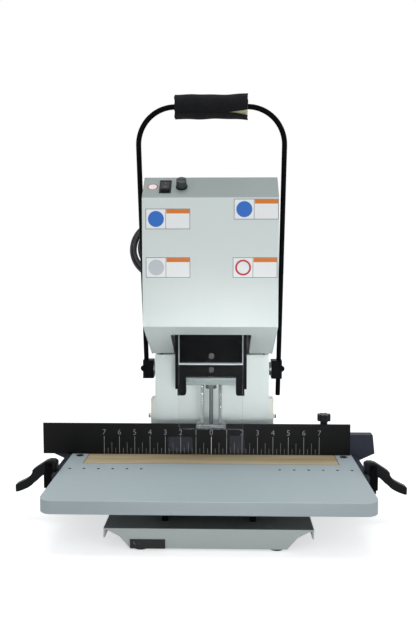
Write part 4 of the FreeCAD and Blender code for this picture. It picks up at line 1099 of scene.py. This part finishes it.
# %% Bench, room and lamps
def seen_directly(tree):
    """1 for rays from the camera, and for those that metal or glass sends on; 0 for light."""
    path = tree.nodes.new("ShaderNodeLightPath").outputs
    mirrored = maths(tree, "MAXIMUM", path["Is Glossy Ray"], path["Is Transmission Ray"])
    return maths(tree, "MAXIMUM", path["Is Camera Ray"], mirrored)


def make_bench():
    """A white bench: its lit colour keeps the shadow, and a veil hides the horizon."""
    mesh = bpy.data.meshes.new("bench")
    mesh.from_pydata([(-8, -6, 0), (8, -6, 0), (8, 12, 0), (-8, 12, 0)], [], [(0, 1, 2, 3)])
    material, tree, shader = blank_material("white bench")
    fill(shader, {"Base Color": (0.9, 0.9, 0.9, 1), "Roughness": 1.0, "Specular IOR Level": 0.0,
                  "Emission Color": (1, 1, 1, 1)})
    veil = maths(tree, "MULTIPLY", seen_directly(tree), BENCH_VEIL)
    tree.links.new(veil, shader.inputs["Emission Strength"])
    mesh.materials.append(material)
    bench = shown("bench", mesh)


def light_the_room():
    """Plain white for what is seen, a dimmer grey-white for what lights the machine."""
    world = bpy.data.worlds.new("room")
    bpy.context.scene.world = world
    world.use_nodes = True
    tree = world.node_tree
    tree.nodes.clear()
    room, seen = (tree.nodes.new("ShaderNodeBackground") for k in range(2))
    fill(room, {"Color": (0.95, 0.97, 1.0, 1), "Strength": ROOM_LEVEL})
    fill(seen, {"Color": (1, 1, 1, 1), "Strength": 1.0})
    choice = tree.nodes.new("ShaderNodeMixShader")
    outward = tree.nodes.new("ShaderNodeOutputWorld")
    tree.links.new(seen_directly(tree), choice.inputs[0])
    tree.links.new(room.outputs[0], choice.inputs[1])
    tree.links.new(seen.outputs[0], choice.inputs[2])
    tree.links.new(choice.outputs[0], outward.inputs["Surface"])


def area_lamp(name, place, target, power, wide, tall, spread):
    """A rectangular lamp, in watts and metres, aimed at a point."""
    data = bpy.data.lights.new(name, "AREA")
    data.shape = "RECTANGLE"
    data.size, data.size_y = wide, tall
    data.energy = power
    data.spread = radians(spread)
    lamp = shown(name, data)
    lamp.location = place
    aim = Vector(target) - Vector(place)
    lamp.rotation_euler = aim.to_track_quat("-Z", "Y").to_euler()


BENCH_VEIL = 0.55
ROOM_LEVEL = 0.58
LAMPS = (("key", (-0.5, -1.9, 1.9), (0, 0, 0.3), 3, 1.6, 1.2, 180),
         ("fill", (1.6, -1.2, 0.8), (0, 0, 0.2), 3, 1.2, 1.2, 180),
         ("front bounce", (0.2, -1.6, 0.12), (0, 0, 0.3), 3.2, 1.6, 0.3, 180),
         ("top", (0, -0.35, 2.4), (0, -0.05, 0), 11, 1.4, 0.8, 180),
         ("throat light", (0.14, -1.1, 0.26), (0.02, 0.1, 0.2), 0.11, 0.3, 0.16, 20))
make_bench()
light_the_room()
for lamp in LAMPS:
    area_lamp(*lamp)
